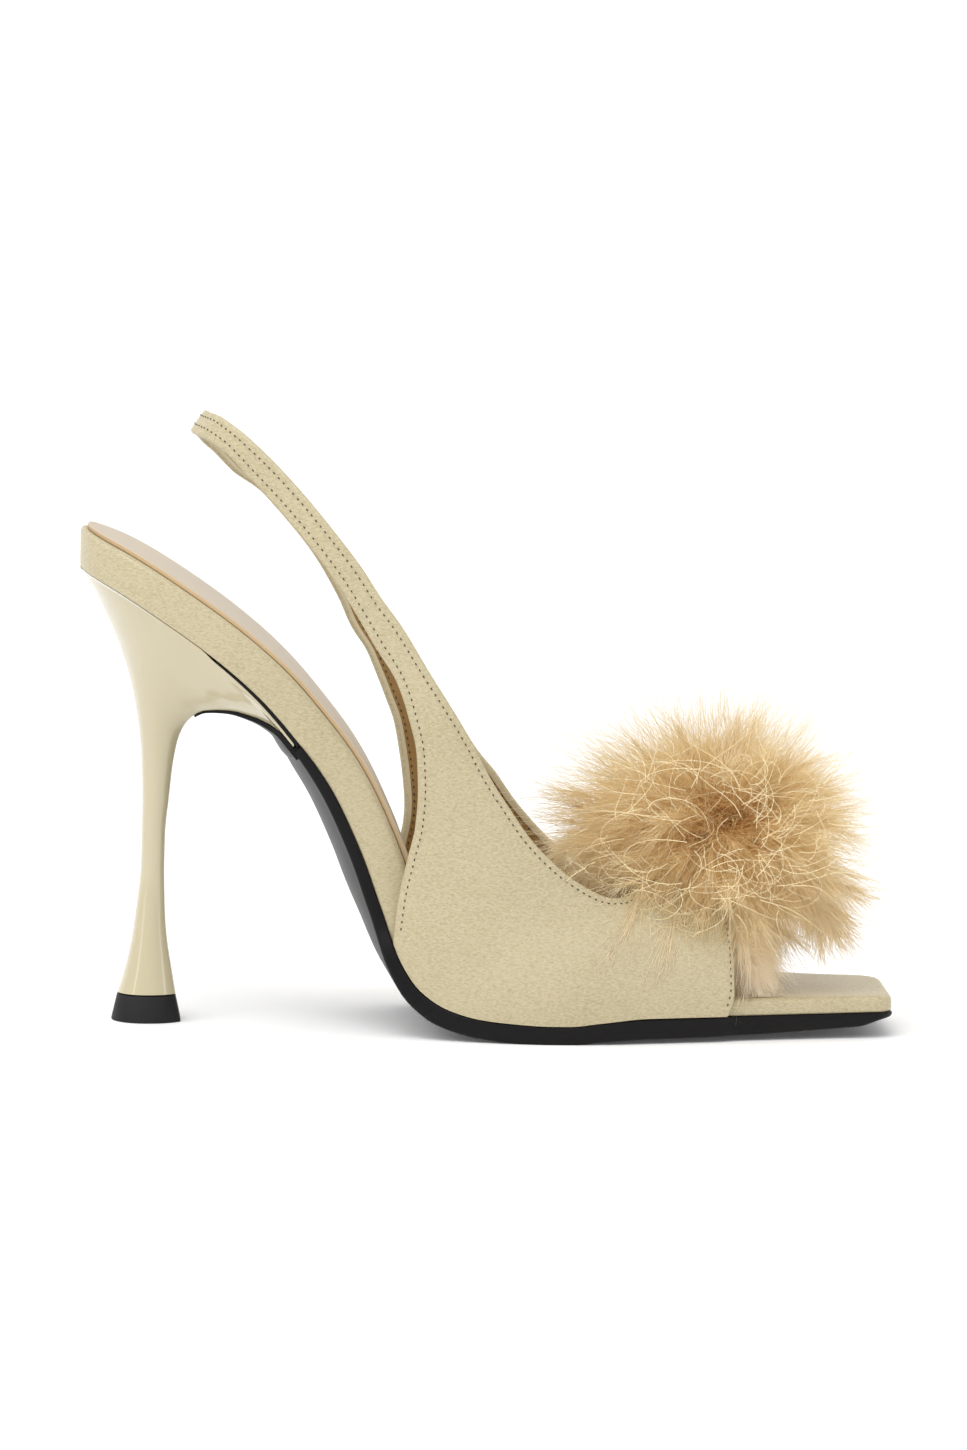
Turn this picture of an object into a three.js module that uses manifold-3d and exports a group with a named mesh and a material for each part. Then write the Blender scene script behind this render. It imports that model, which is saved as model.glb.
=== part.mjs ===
// A high-heeled slingback sandal for the right foot: a satin peep-toe upper drawn out into a heel strap,
// on a satin-wrapped footbed, with a black outsole that forks round the lip of a flared stiletto heel,
// and a feather pompom sewn on the vamp.
// The frame: +X runs from heel to toe, +Z is up, the outer side of the foot is at -Y, the floor is Z = 0,
// and the origin is the middle of the heel tip's face on the floor. Lengths are in millimetres.
import * as THREE from "three";
import Module from "manifold-3d";
import { mergeVertices } from "three/addons/utils/BufferGeometryUtils.js";

// Lengths and heights of the last
const SHOE_LENGTH = 198.5; // seat back to toe edge, along the floor
const SEAT_RISE = 105.9; // the seat line's back end above the same line at the tread
const SEAT_OVERHANG = 17.5; // seat back behind the middle of the heel tip
const BALL_WIDTH = 69;
const SEAT_WIDTH = 50.4;
const WAIST_WIDTH = 44.8;
const TOE_WIDTH = 36;
const TOE_CORNER = { lateral: 4, medial: 7 }; // the corners' radii
const FIT_GAP = 0.3; // between neighbours that touch in the real shoe

// Thicknesses
const OUTSOLE_TREAD = 4.7;
const OUTSOLE_WAIST = 2.7;
const FOOTBED_REAR = 9;
const FOOTBED_FRONT = 4;
const FOOTBED_EDGE_ROUND = 1.5;
const INSOLE_THICKNESS = 1;
const INSOLE_MARGIN = 1.9;
const UPPER_WALL = 1.6;
const SOLE_EDGE_ROUND = 0.8;
const SOLE_RIM = 0.5; // how far the outsole stands out past the bare footbed
const WAIST_CROWN = 3.2; // how far the waist's underside bulges below its edges

// Heel
const TIP_LENGTH = 17;
const TIP_TOP_LENGTH = 14.1;
const TIP_HEIGHT = 6.5;
const NECK_LENGTH = 5.8;
const NECK_HEIGHT = 42;
const NECK_WIDTH = 6.6;
const ARCH_HEIGHT = 77.3; // top of the curve between the heel and the sole
const FLAP_THICKNESS = 1.7;
const WEDGE_THICKNESS = 0.6;

// Upper
const QUARTER_WIDTH = 71; // across the quarters at their widest
const STRAP_TOP = 148.7; // height of the strap's upper fold at the back
const STRAP_BACK = 29.3; // that fold in front of the seat back
const STRAP_WIDTH = 5.2; // from fold to fold
const STRAP_LEAN = 34; // degrees from upright at the back
const THROAT_HEIGHT = 41;
const THROAT_REACH = 138.5; // throat in front of the seat back
const MOUTH_HEIGHT = 33.8; // crest of the vamp's front edge

// Pompom
const POMPOM_HEIGHT = 48; // centre above the floor
const POMPOM_BACK = 157; // centre in front of the seat back
const POMPOM_LENGTH = 54; // the core, without its locks
const POMPOM_WIDTH = 58;
const POMPOM_DEPTH = 38;
const LOCK_LENGTH = 40; // from the centre to the longest lock's tip
const LOCK_ROOT = 12;
const LOCK_COUNT = 66;

const SEAT_BACK = -SEAT_OVERHANG;
const TREAD_LINE = OUTSOLE_TREAD + FIT_GAP; // the footbed's underside at the tread

const clamp = (v, low, high) => Math.min(high, Math.max(low, v));
const mix = (a, b, t) => a + (b - a) * t;
const ease = (t) => clamp(t, 0, 1) ** 2 * (3 - 2 * clamp(t, 0, 1));
const v3 = (x, y, z) => new THREE.Vector3(x, y, z);

// A smooth curve through a table's rows that never overshoots them: cubic, with each slope the harmonic
// mean of its two neighbours, and level wherever they differ in sign.
function through(rows, key, at = "at") {
  const x = rows.map((r) => r[at]);
  const y = rows.map((r) => r[key]);
  const secant = y.slice(1).map((v, i) => (v - y[i]) / (x[i + 1] - x[i]));
  const slope = y.map((_, i) => {
    if (i === 0) return secant[0];
    if (i === y.length - 1) return secant[i - 1];
    const [a, b] = [secant[i - 1], secant[i]];
    return a * b <= 0 ? 0 : (2 * a * b) / (a + b);
  });
  return (t) => {
    const u = clamp(t, x[0], x[x.length - 1]);
    const i = clamp(x.findIndex((v) => v > u) - 1, 0, x.length - 2);
    const k = u >= x[x.length - 1] ? x.length - 2 : i;
    const h = x[k + 1] - x[k];
    const s = (u - x[k]) / h;
    return (
      y[k] * (1 + 2 * s) * (1 - s) ** 2 +
      y[k + 1] * s * s * (3 - 2 * s) +
      h * (slope[k] * s * (1 - s) ** 2 - slope[k + 1] * s * s * (1 - s))
    );
  };
}

// The seat line, which is the footbed's underside seen from the side: along is a share of SHOE_LENGTH
// from the seat back, rise a share of SEAT_RISE above the tread.
const SEAT_LINE = [
  { at: 0, rise: 1 },
  { at: 0.048, rise: 0.956 },
  { at: 0.109, rise: 0.885 },
  { at: 0.17, rise: 0.803 },
  { at: 0.219, rise: 0.723 },
  { at: 0.2635, rise: 0.629 },
  { at: 0.305, rise: 0.524 },
  { at: 0.3436, rise: 0.379 },
  { at: 0.37, rise: 0.248 },
  { at: 0.394, rise: 0.129 },
  { at: 0.4186, rise: 0.063 },
  { at: 0.451, rise: 0.0245 },
  { at: 0.491, rise: 0.0047 },
  { at: 0.52, rise: -0.001 },
  { at: 0.577, rise: -0.0062 },
  { at: 0.6, rise: -0.0062 },
  { at: 0.636, rise: 0.001 },
  { at: 0.697, rise: 0.0104 },
  { at: 0.894, rise: 0.0113 },
  { at: 1, rise: 0.0135 },
];
const riseAt = through(SEAT_LINE, "rise");
const xAt = (share) => SEAT_BACK + share * SHOE_LENGTH;
const seatZ = (x) => TREAD_LINE + SEAT_RISE * riseAt((x - SEAT_BACK) / SHOE_LENGTH);

// The same line measured along itself, as the insole's pattern is.
const LINE_STEPS = 800;
const line = [];
for (let i = 0; i <= LINE_STEPS; i++) {
  const x = xAt(i / LINE_STEPS);
  const z = seatZ(x);
  const last = line[i - 1];
  line.push({ x, z, arc: last ? last.arc + Math.hypot(x - last.x, z - last.z) : 0 });
}
const ARC_LENGTH = line[LINE_STEPS].arc;

// Between two entries of the line, by their arc length or by their x.
function onLine(key, value) {
  let low = 0;
  let high = LINE_STEPS;
  while (high - low > 1) {
    const mid = (low + high) >> 1;
    if (line[mid][key] <= value) low = mid;
    else high = mid;
  }
  const [a, b] = [line[low], line[high]];
  const t = (value - a[key]) / (b[key] - a[key]);
  return { x: mix(a.x, b.x, t), z: mix(a.z, b.z, t), arc: mix(a.arc, b.arc, t) };
}
const arcAtX = (x) => onLine("x", x).arc;

// Position and unit normal on the seat line; the normal points at the foot.
const SLOPE_SPAN = 2;
function station(arc) {
  const p = onLine("arc", arc);
  const a = onLine("arc", Math.max(0, arc - SLOPE_SPAN));
  const b = onLine("arc", Math.min(ARC_LENGTH, arc + SLOPE_SPAN));
  const n = Math.hypot(b.x - a.x, b.z - a.z);
  return { x: p.x, z: p.z, nx: -(b.z - a.z) / n, nz: (b.x - a.x) / n };
}

// Half widths of the footbed to each side of the shoe's axis, as shares of the named width that each
// row follows; at is a share of the arc length.
const OUTLINE = [
  { at: 0.08, width: SEAT_WIDTH, lateral: 0.492, medial: 0.492 },
  { at: 0.128, width: SEAT_WIDTH, lateral: 0.5, medial: 0.5 },
  { at: 0.18, width: SEAT_WIDTH, lateral: 0.496, medial: 0.494 },
  { at: 0.24, width: WAIST_WIDTH, lateral: 0.532, medial: 0.525 },
  { at: 0.36, width: WAIST_WIDTH, lateral: 0.5, medial: 0.482 },
  { at: 0.42, width: WAIST_WIDTH, lateral: 0.512, medial: 0.502 },
  { at: 0.48, width: WAIST_WIDTH, lateral: 0.552, medial: 0.556 },
  { at: 0.535, width: BALL_WIDTH, lateral: 0.4, medial: 0.404 },
  { at: 0.6, width: BALL_WIDTH, lateral: 0.46, medial: 0.458 },
  { at: 0.663, width: BALL_WIDTH, lateral: 0.488, medial: 0.496 },
  { at: 0.711, width: BALL_WIDTH, lateral: 0.48, medial: 0.512 },
  { at: 0.759, width: BALL_WIDTH, lateral: 0.447, medial: 0.493 },
  { at: 0.811, width: BALL_WIDTH, lateral: 0.402, medial: 0.438 },
  { at: 0.862, width: TOE_WIDTH, lateral: 0.69, medial: 0.735 },
  { at: 0.91, width: TOE_WIDTH, lateral: 0.611, medial: 0.636 },
  { at: 0.958, width: TOE_WIDTH, lateral: 0.547, medial: 0.547 },
  { at: 1, width: TOE_WIDTH, lateral: 0.5, medial: 0.5 },
].map((r) => ({ at: r.at, lateral: r.lateral * r.width, medial: r.medial * r.width }));
const sideHalf = { lateral: through(OUTLINE, "lateral"), medial: through(OUTLINE, "medial") };

// The footbed's half width: the table's, drawn in to a round seat and to the corners of a square toe.
// inset moves the whole outline inwards, and a negative one outwards.
const SEAT_SQUARENESS = 2.25;
function half(arc, side, inset = 0) {
  const seatRound = SEAT_WIDTH / 2;
  const fromBack = clamp((arc - inset) / seatRound, 0, 1);
  const round = (1 - (1 - fromBack) ** SEAT_SQUARENESS) ** (1 / SEAT_SQUARENESS);
  const corner = Math.max(0.5, TOE_CORNER[side] - inset);
  const toToe = clamp(ARC_LENGTH - inset - arc, 0, corner);
  const cut = corner - Math.sqrt(corner ** 2 - (corner - toToe) ** 2);
  return (sideHalf[side](arc / ARC_LENGTH) - inset) * round - cut;
}

// Stations between two arc lengths, every PLATE_STEP back from the toe's corners, so that all plates
// share them, and closer together at a round seat and at those corners.
const PLATE_STEP = 6;
const SHORTEST_STEP = 0.2; // of PLATE_STEP
const SEAT_TURNS = [5, 13, 23, 35, 48, 62, 76, 90]; // degrees round the seat's quarter circle
const CORNER_TURNS = [30, 52, 75, 90]; // degrees round the larger toe corner
const CORNER = Math.max(TOE_CORNER.lateral, TOE_CORNER.medial);
const radians = THREE.MathUtils.degToRad;
function stations(from, to) {
  const seatRound = SEAT_WIDTH / 2;
  const found = [from];
  if (from < seatRound) {
    found.pop();
    SEAT_TURNS.forEach((deg) => found.push(from + (seatRound - from) * (1 - Math.cos(radians(deg)))));
  }
  const corner = ARC_LENGTH - CORNER;
  const start = found[found.length - 1];
  for (let k = Math.floor((corner - start) / PLATE_STEP - SHORTEST_STEP); k >= 0; k--) {
    const arc = corner - k * PLATE_STEP;
    if (arc < to - SHORTEST_STEP * PLATE_STEP) found.push(arc);
  }
  if (to > corner) CORNER_TURNS.forEach((deg) => found.push(corner + CORNER * Math.sin(radians(deg))));
  else found.push(to);
  return found;
}

// A closed body through rings of equally many points. In each ring, point j and its partner from the
// other end of the list are mirror images, and the two end rings are closed by strips between them.
function loft(rings) {
  const n = rings[0].length;
  const position = rings.flat().flatMap((p) => [p.x, p.y, p.z]);
  const index = [];
  const quad = (a, b, c, d) => index.push(a, b, c, a, c, d);
  for (let i = 0; i + 1 < rings.length; i++)
    for (let j = 0; j < n; j++) {
      const k = (j + 1) % n;
      quad(i * n + j, i * n + k, (i + 1) * n + k, (i + 1) * n + j);
    }
  const end = (rings.length - 1) * n;
  for (let j = 0; j + 1 < n / 2; j++) {
    quad(j, n - 1 - j, n - 2 - j, j + 1);
    quad(end + j, end + j + 1, end + n - 2 - j, end + n - 1 - j);
  }
  return closed(position, index);
}

// An indexed geometry with its faces turned outwards.
function closed(position, index) {
  let volume = 0;
  const p = (i) => new THREE.Vector3().fromArray(position, 3 * index[i]);
  for (let i = 0; i < index.length; i += 3) volume += p(i).dot(p(i + 1).cross(p(i + 2)));
  if (volume < 0)
    for (let i = 0; i < index.length; i += 3) [index[i + 1], index[i + 2]] = [index[i + 2], index[i + 1]];
  const geometry = new THREE.BufferGeometry();
  geometry.setAttribute("position", new THREE.Float32BufferAttribute(position, 3));
  geometry.setIndex(index);
  return geometry;
}

const wasm = await Module();
wasm.setup();

function solid(geometry) {
  const merged = mergeVertices(geometry, 1e-4);
  const mesh = new wasm.Mesh({
    numProp: 3,
    vertProperties: merged.attributes.position.array,
    triVerts: new Uint32Array(merged.index.array),
  });
  return new wasm.Manifold(mesh);
}

function geometryOf(manifold) {
  const mesh = manifold.getMesh();
  return closed(Array.from(mesh.vertProperties), Array.from(mesh.triVerts));
}

// One cross-section of a plate that follows the seat line, from the lateral underside up, over and down
// the medial side. low and high are distances from the line towards the foot, and the four bevels
// round the section's lower and upper edges. A crown bulges the underside by that much.
const NARROWEST = 0.6; // half width left at a pointed end
const BEVEL = 0.3; // of an edge's rounding, cut off its corner
const CROWN_AT = [0.3, 0.7]; // of the half width
function crownPoints(low, h, crown) {
  return CROWN_AT.map((share) => [low - crown * (1 - share ** 2), h * share]);
}
function plateRing(arc, low, high, inset, lowRound, highRound, direction = normalAt, crown = null) {
  const s = station(arc);
  const d = direction(arc, s);
  const at = (offset, y) => v3(s.x + d.x * offset, y, s.z + d.z * offset);
  const ring = (side) => {
    const h = Math.max(half(arc, side, inset), NARROWEST);
    const r = Math.min(highRound, h / 2);
    const q = Math.min(lowRound, h / 2);
    return [
      ...(crown === null ? [] : crownPoints(low, h, crown)),
      [low, h - q],
      [low + q * BEVEL, h - q * BEVEL],
      [low + q, h],
      [high - r, h],
      [high - r * BEVEL, h - r * BEVEL],
      [high, h - r],
    ];
  };
  const lateral = ring("lateral").map(([offset, y]) => at(offset, -y));
  const medial = ring("medial").map(([offset, y]) => at(offset, y));
  return [...lateral, ...medial.reverse()];
}
const normalAt = (arc, s) => ({ x: s.nx, z: s.nz });

// The footbed's edge stands upright at the seat back and square to the seat line further on.
const UPRIGHT_SPAN = 0.12;
function footbedDirection(arc, s) {
  const t = ease(arc / (UPRIGHT_SPAN * ARC_LENGTH));
  const d = { x: mix(0, s.nx, t), z: mix(1, s.nz, t) };
  const across = d.x * s.nx + d.z * s.nz;
  return { x: d.x / across, z: d.z / across };
}

// Share of the way from the front thickness to the rear one, by share of the arc length.
const FOOTBED_TAPER = [
  { at: 0, rear: 1 },
  { at: 0.47, rear: 1 },
  { at: 0.56, rear: 0.38 },
  { at: 0.62, rear: 0.07 },
  { at: 0.68, rear: 0 },
  { at: 1, rear: 0 },
];
const rearShare = through(FOOTBED_TAPER, "rear");
const footbedThickness = (arc) => mix(FOOTBED_FRONT, FOOTBED_REAR, rearShare(arc / ARC_LENGTH));

const LOWER_EDGE_ROUND = 0.3;
function footbed() {
  const rings = stations(0, ARC_LENGTH).map((arc) =>
    plateRing(arc, 0, footbedThickness(arc), 0, LOWER_EDGE_ROUND, FOOTBED_EDGE_ROUND, footbedDirection),
  );
  return loft(rings);
}

// The insole is glued on the footbed, inside its edge, and ends under the vamp.
const INSOLE_END = 0.8;
const INSOLE_ROUND = { low: 0.1, high: 0.4 };
function insole() {
  const { low: lowRound, high: highRound } = INSOLE_ROUND;
  const rings = stations(INSOLE_MARGIN, INSOLE_END * ARC_LENGTH).map((arc) => {
    const low = footbedThickness(arc) + FIT_GAP;
    return plateRing(arc, low, low + INSOLE_THICKNESS, INSOLE_MARGIN, lowRound, highRound, footbedDirection);
  });
  return loft(rings);
}

// Heel sections from the tip up, each from a point on its back line to one on its front line.
// backX, frontX and half are shares of the named size in of, across the heel; backZ and frontZ are
// heights as shares of the named height in tall. bow is how much of the seat's own curve a section
// has, and flat the front edge's share of the width.
const NECK_MIDDLE = 1.2;
const seatBackHeight = TREAD_LINE + SEAT_RISE;
const LIP_ARC = 0.266; // the lip's front end, as a share of the arc length
const lip = station(LIP_ARC * ARC_LENGTH);
const HEEL_SECTIONS = [
  { back: -0.5, front: 0.507, of: TIP_TOP_LENGTH, backZ: 0, frontZ: 0, half: 0.5, flat: 0.5 },
  { back: -0.39, front: 0.43, of: TIP_TOP_LENGTH, backZ: 0.15, frontZ: 0.18, half: 0.42, flat: 0.5 },
  { back: -0.29, front: 0.355, of: TIP_TOP_LENGTH, backZ: 0.33, frontZ: 0.36, half: 0.345, flat: 0.5 },
  { back: -0.213, front: 0.312, of: TIP_TOP_LENGTH, backZ: 0.54, frontZ: 0.54, half: 0.29, flat: 0.5 },
];
function heelSections() {
  const tipTop = TIP_HEIGHT + FIT_GAP;
  const neckBack = NECK_MIDDLE - NECK_LENGTH / 2;
  const neckFront = NECK_MIDDLE + NECK_LENGTH / 2;
  const flare = HEEL_SECTIONS.map((r) => ({
    bx: r.back * r.of,
    bz: mix(tipTop, NECK_HEIGHT, r.backZ),
    fx: r.front * r.of,
    fz: mix(tipTop, NECK_HEIGHT, r.frontZ),
    half: r.half * r.of,
    flat: r.flat,
    bow: 0,
  }));
  // The neck: rise is a share of its height, wide one of its width, and set how far it lies back.
  const neck = [
    { rise: 0.9, wide: 0.51, set: 0.1 },
    { rise: 1.09, wide: 0.52, set: 0 },
  ].map((r) => ({
    bx: neckBack - r.set,
    bz: r.rise * NECK_HEIGHT,
    fx: neckFront - r.set,
    fz: r.rise * NECK_HEIGHT,
    half: r.wide * NECK_WIDTH,
    flat: 0.5,
    bow: 0,
  }));
  // Above the neck: back is a share of the way from the neck to the seat back and up to it, front a
  // share of the way from the neck to the lip, with its height as a share of ARCH_HEIGHT.
  const crown = [
    { back: 0, up: 0.16, front: 0.024, arch: 0.703, wide: 0.027, flat: 0.52, bow: 0 },
    { back: 0.02, up: 0.3, front: 0.052, arch: 0.817, wide: 0.075, flat: 0.56, bow: 0.02 },
    { back: 0.06, up: 0.405, front: 0.092, arch: 0.9, wide: 0.14, flat: 0.62, bow: 0.06 },
    { back: 0.135, up: 0.51, front: 0.168, arch: 0.96, wide: 0.25, flat: 0.69, bow: 0.14 },
    { back: 0.24, up: 0.61, front: 0.3, arch: 0.993, wide: 0.39, flat: 0.76, bow: 0.27 },
    { back: 0.39, up: 0.71, front: 0.475, arch: 0.999, wide: 0.55, flat: 0.82, bow: 0.44 },
    { back: 0.56, up: 0.8, front: 0.665, arch: 0.986, wide: 0.73, flat: 0.87, bow: 0.64 },
    { back: 0.785, up: 0.905, front: 0.855, arch: 0.95, wide: 0.89, flat: 0.91, bow: 0.84 },
  ].map((r) => ({
    bx: mix(neckBack, SEAT_BACK + 0.2, r.back),
    bz: mix(NECK_HEIGHT, seatBackHeight, r.up),
    fx: mix(neckFront, lip.x, r.front),
    fz: r.arch * ARCH_HEIGHT,
    half: mix(0.52 * NECK_WIDTH, SEAT_WIDTH / 2, r.wide),
    flat: r.flat,
    bow: r.bow,
  }));
  return [...flare, ...neck, ...crown];
}

// Distance of the heel's top below the seat line: one gap at the back, and room for the outsole's
// wedge with a gap on either side of it nearer the lip.
const WEDGE_START = 0.155;
const WEDGE_TAPER = 0.35; // of its thickness, left at its start
const WEDGE_RUN = 0.02;
function wedgeAt(share) {
  const along = clamp((share - WEDGE_START) / (LIP_ARC - WEDGE_START), 0, 1);
  return WEDGE_THICKNESS * mix(WEDGE_TAPER, 1, along);
}
const heelTopDrop = (share) =>
  FIT_GAP + (FIT_GAP + wedgeAt(share)) * ease((share - WEDGE_START + WEDGE_RUN) / WEDGE_RUN);

// The D outline of a heel section: round at the back, narrowing a little to a flat front.
const ROUND_PART = 0.48;
const ROUND_POWER = 2.1;
function dShape(s, flat) {
  if (s < ROUND_PART) return (1 - (1 - s / ROUND_PART) ** ROUND_POWER) ** (1 / ROUND_POWER);
  const t = (s - ROUND_PART) / (1 - ROUND_PART);
  return Math.sqrt(1 - t * t * (1 - flat * flat));
}
const HEEL_SHARES = [0.004, 0.025, 0.07, 0.14, 0.23, 0.35, 0.48, 0.62, 0.76, 0.88, 0.96, 1];

// The lip is drawn to an edge this thick at its front end, and the heel's top stands in from the footbed.
const LIP_EDGE = 0.7;
const CUP_INSET = 0.4;
const CUP_NARROWEST = 1;
function heelTopRing() {
  const points = HEEL_SHARES.map((s) => {
    const arc = s * LIP_ARC * ARC_LENGTH;
    const p = station(arc);
    const drop = heelTopDrop(arc / ARC_LENGTH);
    return { arc, x: p.x - p.nx * drop, z: p.z - p.nz * drop };
  });
  const edge = (p, side) => Math.max(half(p.arc, side, CUP_INSET), CUP_NARROWEST);
  const lateral = points.map((p) => v3(p.x, -edge(p, "lateral"), p.z));
  const medial = points.map((p) => v3(p.x, edge(p, "medial"), p.z));
  return [...lateral, ...medial.reverse()];
}

// A section below the top: a straight chord from back to front, bent by its share of the seat's curve.
function heelRing(row, top) {
  const [first, last] = [top[0], top[HEEL_SHARES.length - 1]];
  const [sx, sz] = [last.x - first.x, last.z - first.z];
  const span = Math.hypot(sx, sz);
  const [cx, cz] = [row.fx - row.bx, row.fz - row.bz];
  const side = (sign) =>
    HEEL_SHARES.map((s, j) => {
      const [dx, dz] = [top[j].x - first.x, top[j].z - first.z];
      const share = (dx * sx + dz * sz) / span ** 2;
      const bulge = (dz * sx - dx * sz) / span ** 2;
      const t = mix(s, share, row.bow);
      const b = bulge * row.bow;
      const y = row.half * dShape(s, row.flat);
      return v3(row.bx + cx * t - cz * b, sign * y, row.bz + cz * t + cx * b);
    });
  return [...side(-1), ...side(1).reverse()];
}

const SECTION_STEPS = 21;
const CUP_EDGE = 0.6; // height of the cup's rim above the last section at the back
function heelRows() {
  const rows = heelSections().map((r, i) => ({ ...r, at: i }));
  const top = heelTopRing();
  const frontEnd = top[HEEL_SHARES.length - 1];
  rows.push({
    at: rows.length,
    bx: top[0].x + 0.05,
    bz: top[0].z - CUP_EDGE,
    fx: frontEnd.x - 0.1,
    fz: frontEnd.z - LIP_EDGE,
    half: SEAT_WIDTH / 2 - CUP_INSET,
    flat: half(LIP_ARC * ARC_LENGTH, "lateral", CUP_INSET) / (SEAT_WIDTH / 2),
    bow: 1,
  });
  const keys = ["bx", "bz", "fx", "fz", "half", "flat", "bow"];
  const curves = Object.fromEntries(keys.map((k) => [k, through(rows, k)]));
  const last = rows.length - 1;
  const rowAt = (t) => Object.fromEntries(keys.map((k) => [k, curves[k](t * last)]));
  return { rowAt, top };
}
const { rowAt: heelRowAt, top: heelTop } = heelRows();

function heel() {
  const rings = [];
  for (let i = 0; i <= SECTION_STEPS; i++) rings.push(heelRing(heelRowAt(i / SECTION_STEPS), heelTop));
  return loft([...rings, heelTop]);
}

// The tip: a wear block under the heel that carries its flare on down to the floor.
function heelTip() {
  const ring = (length, z) => {
    const row = { bx: -length / 2, bz: z, fx: length / 2, fz: z, half: length / 2, flat: 0.5, bow: 0 };
    return heelRing(row, heelTop);
  };
  const middle = ring(mix(TIP_LENGTH, TIP_TOP_LENGTH, 0.5), TIP_HEIGHT / 2);
  return loft([ring(TIP_LENGTH, 0), middle, ring(TIP_TOP_LENGTH, TIP_HEIGHT)]);
}

// Outsole thickness as a share of the way from the waist's to the tread's, by share of the arc length.
const OUTSOLE_TAPER = [
  { at: 0.26, tread: -0.45 },
  { at: 0.31, tread: -0.15 },
  { at: 0.38, tread: 0 },
  { at: 0.47, tread: 0.1 },
  { at: 0.5, tread: 0.25 },
  { at: 0.54, tread: 0.6 },
  { at: 0.56, tread: 0.75 },
  { at: 0.605, tread: 0.76 },
  { at: 0.618, tread: 0.85 },
  { at: 0.684, tread: 0.85 },
  { at: 0.704, tread: 0.76 },
  { at: 0.754, tread: 1 },
  { at: 0.803, tread: 0.95 },
  { at: 0.856, tread: 0.85 },
  { at: 0.906, tread: 0.6 },
  { at: 0.936, tread: 0.4 },
  { at: 0.967, tread: 0.2 },
  { at: 0.988, tread: -0.55 },
  { at: 1, tread: -0.85 },
];
const treadShare = through(OUTSOLE_TAPER, "tread");
const outsoleThickness = (arc) => mix(OUTSOLE_WAIST, OUTSOLE_TREAD, treadShare(arc / ARC_LENGTH));

// The underside's bulge as a share of WAIST_CROWN, by share of the arc length.
const CROWN_TAPER = [
  { at: 0.26, crown: 0.8 },
  { at: 0.3, crown: 1 },
  { at: 0.4, crown: 1 },
  { at: 0.47, crown: 0.65 },
  { at: 0.53, crown: 0.1 },
  { at: 0.56, crown: 0 },
  { at: 1, crown: 0 },
];
const crownShare = through(CROWN_TAPER, "crown");

// The upper's foot stands on the outsole between these places, as shares of SHOE_LENGTH.
const QUARTER_FOOT = 0.3855;
const VAMP_FOOT = 0.793;
const upperRim = UPPER_WALL + FIT_GAP;
const quarterArc = arcAtX(xAt(QUARTER_FOOT));
const vampArc = arcAtX(xAt(VAMP_FOOT));

// The outsole widens under the upper: it starts this far outside those places and takes this long.
const QUARTER_SPREAD = { before: 0.13 * WAIST_WIDTH, over: 0.18 * WAIST_WIDTH };
const VAMP_SPREAD = { before: 0.045 * BALL_WIDTH, over: 0.09 * BALL_WIDTH };
const SPREAD_SHY = 0.1; // how far the outsole stays inside the upper's face
const FOOT_LIFT = 0.15; // the upper's foot above the seat line, as room for the shank's bend
function outsoleInset(arc) {
  const rear = ease((arc - quarterArc + QUARTER_SPREAD.before) / QUARTER_SPREAD.over);
  const front = ease((vampArc - arc + VAMP_SPREAD.before) / VAMP_SPREAD.over);
  return -mix(SOLE_RIM, upperRim - SPREAD_SHY, rear * front);
}

// The flap that runs on from the waist, under the heel's lip and round the arch to the breast. Each
// section sits one gap outside the heel's front line.
const FLAP_START = 14; // the heel section that it starts at
const FLAP_TAPER = 0.28; // of its thickness, left at its start
const FLAP_MARGIN = 0.2; // how far it stands out past the heel's front line
const FLAP_RUN_ON = 1.6; // past the lip's end, into the waist
function flap(lipCrown) {
  const rings = [];
  for (let i = FLAP_START; i <= SECTION_STEPS; i++) {
    const row = heelRowAt(i / SECTION_STEPS);
    const before = heelRowAt((i - 1) / SECTION_STEPS);
    const after = heelRowAt(Math.min(1, (i + 1) / SECTION_STEPS));
    const n = Math.hypot(after.fx - before.fx, after.fz - before.fz);
    const run = { x: (after.fx - before.fx) / n, z: (after.fz - before.fz) / n };
    const share = (i - FLAP_START) / (SECTION_STEPS - FLAP_START);
    const outer = FIT_GAP + FLAP_THICKNESS * mix(FLAP_TAPER, 1, ease(share));
    const wide = row.half * row.flat + FLAP_MARGIN;
    const crown = crownPoints(-outer, wide, lipCrown * share ** 2);
    const side = [...crown.map(([low, y]) => [-low, y]), [outer, wide], [FIT_GAP, wide]];
    const ring = (ahead) => {
      const [x, z] = [row.fx + run.x * ahead, row.fz + run.z * ahead];
      const half = (sign) => side.map(([offset, y]) => v3(x + run.z * offset, sign * y, z - run.x * offset));
      return [...half(-1), ...half(1).reverse()];
    };
    rings.push(ring(0));
    if (i === SECTION_STEPS) rings.push(ring(FLAP_RUN_ON));
  }
  return loft(rings);
}

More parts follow.
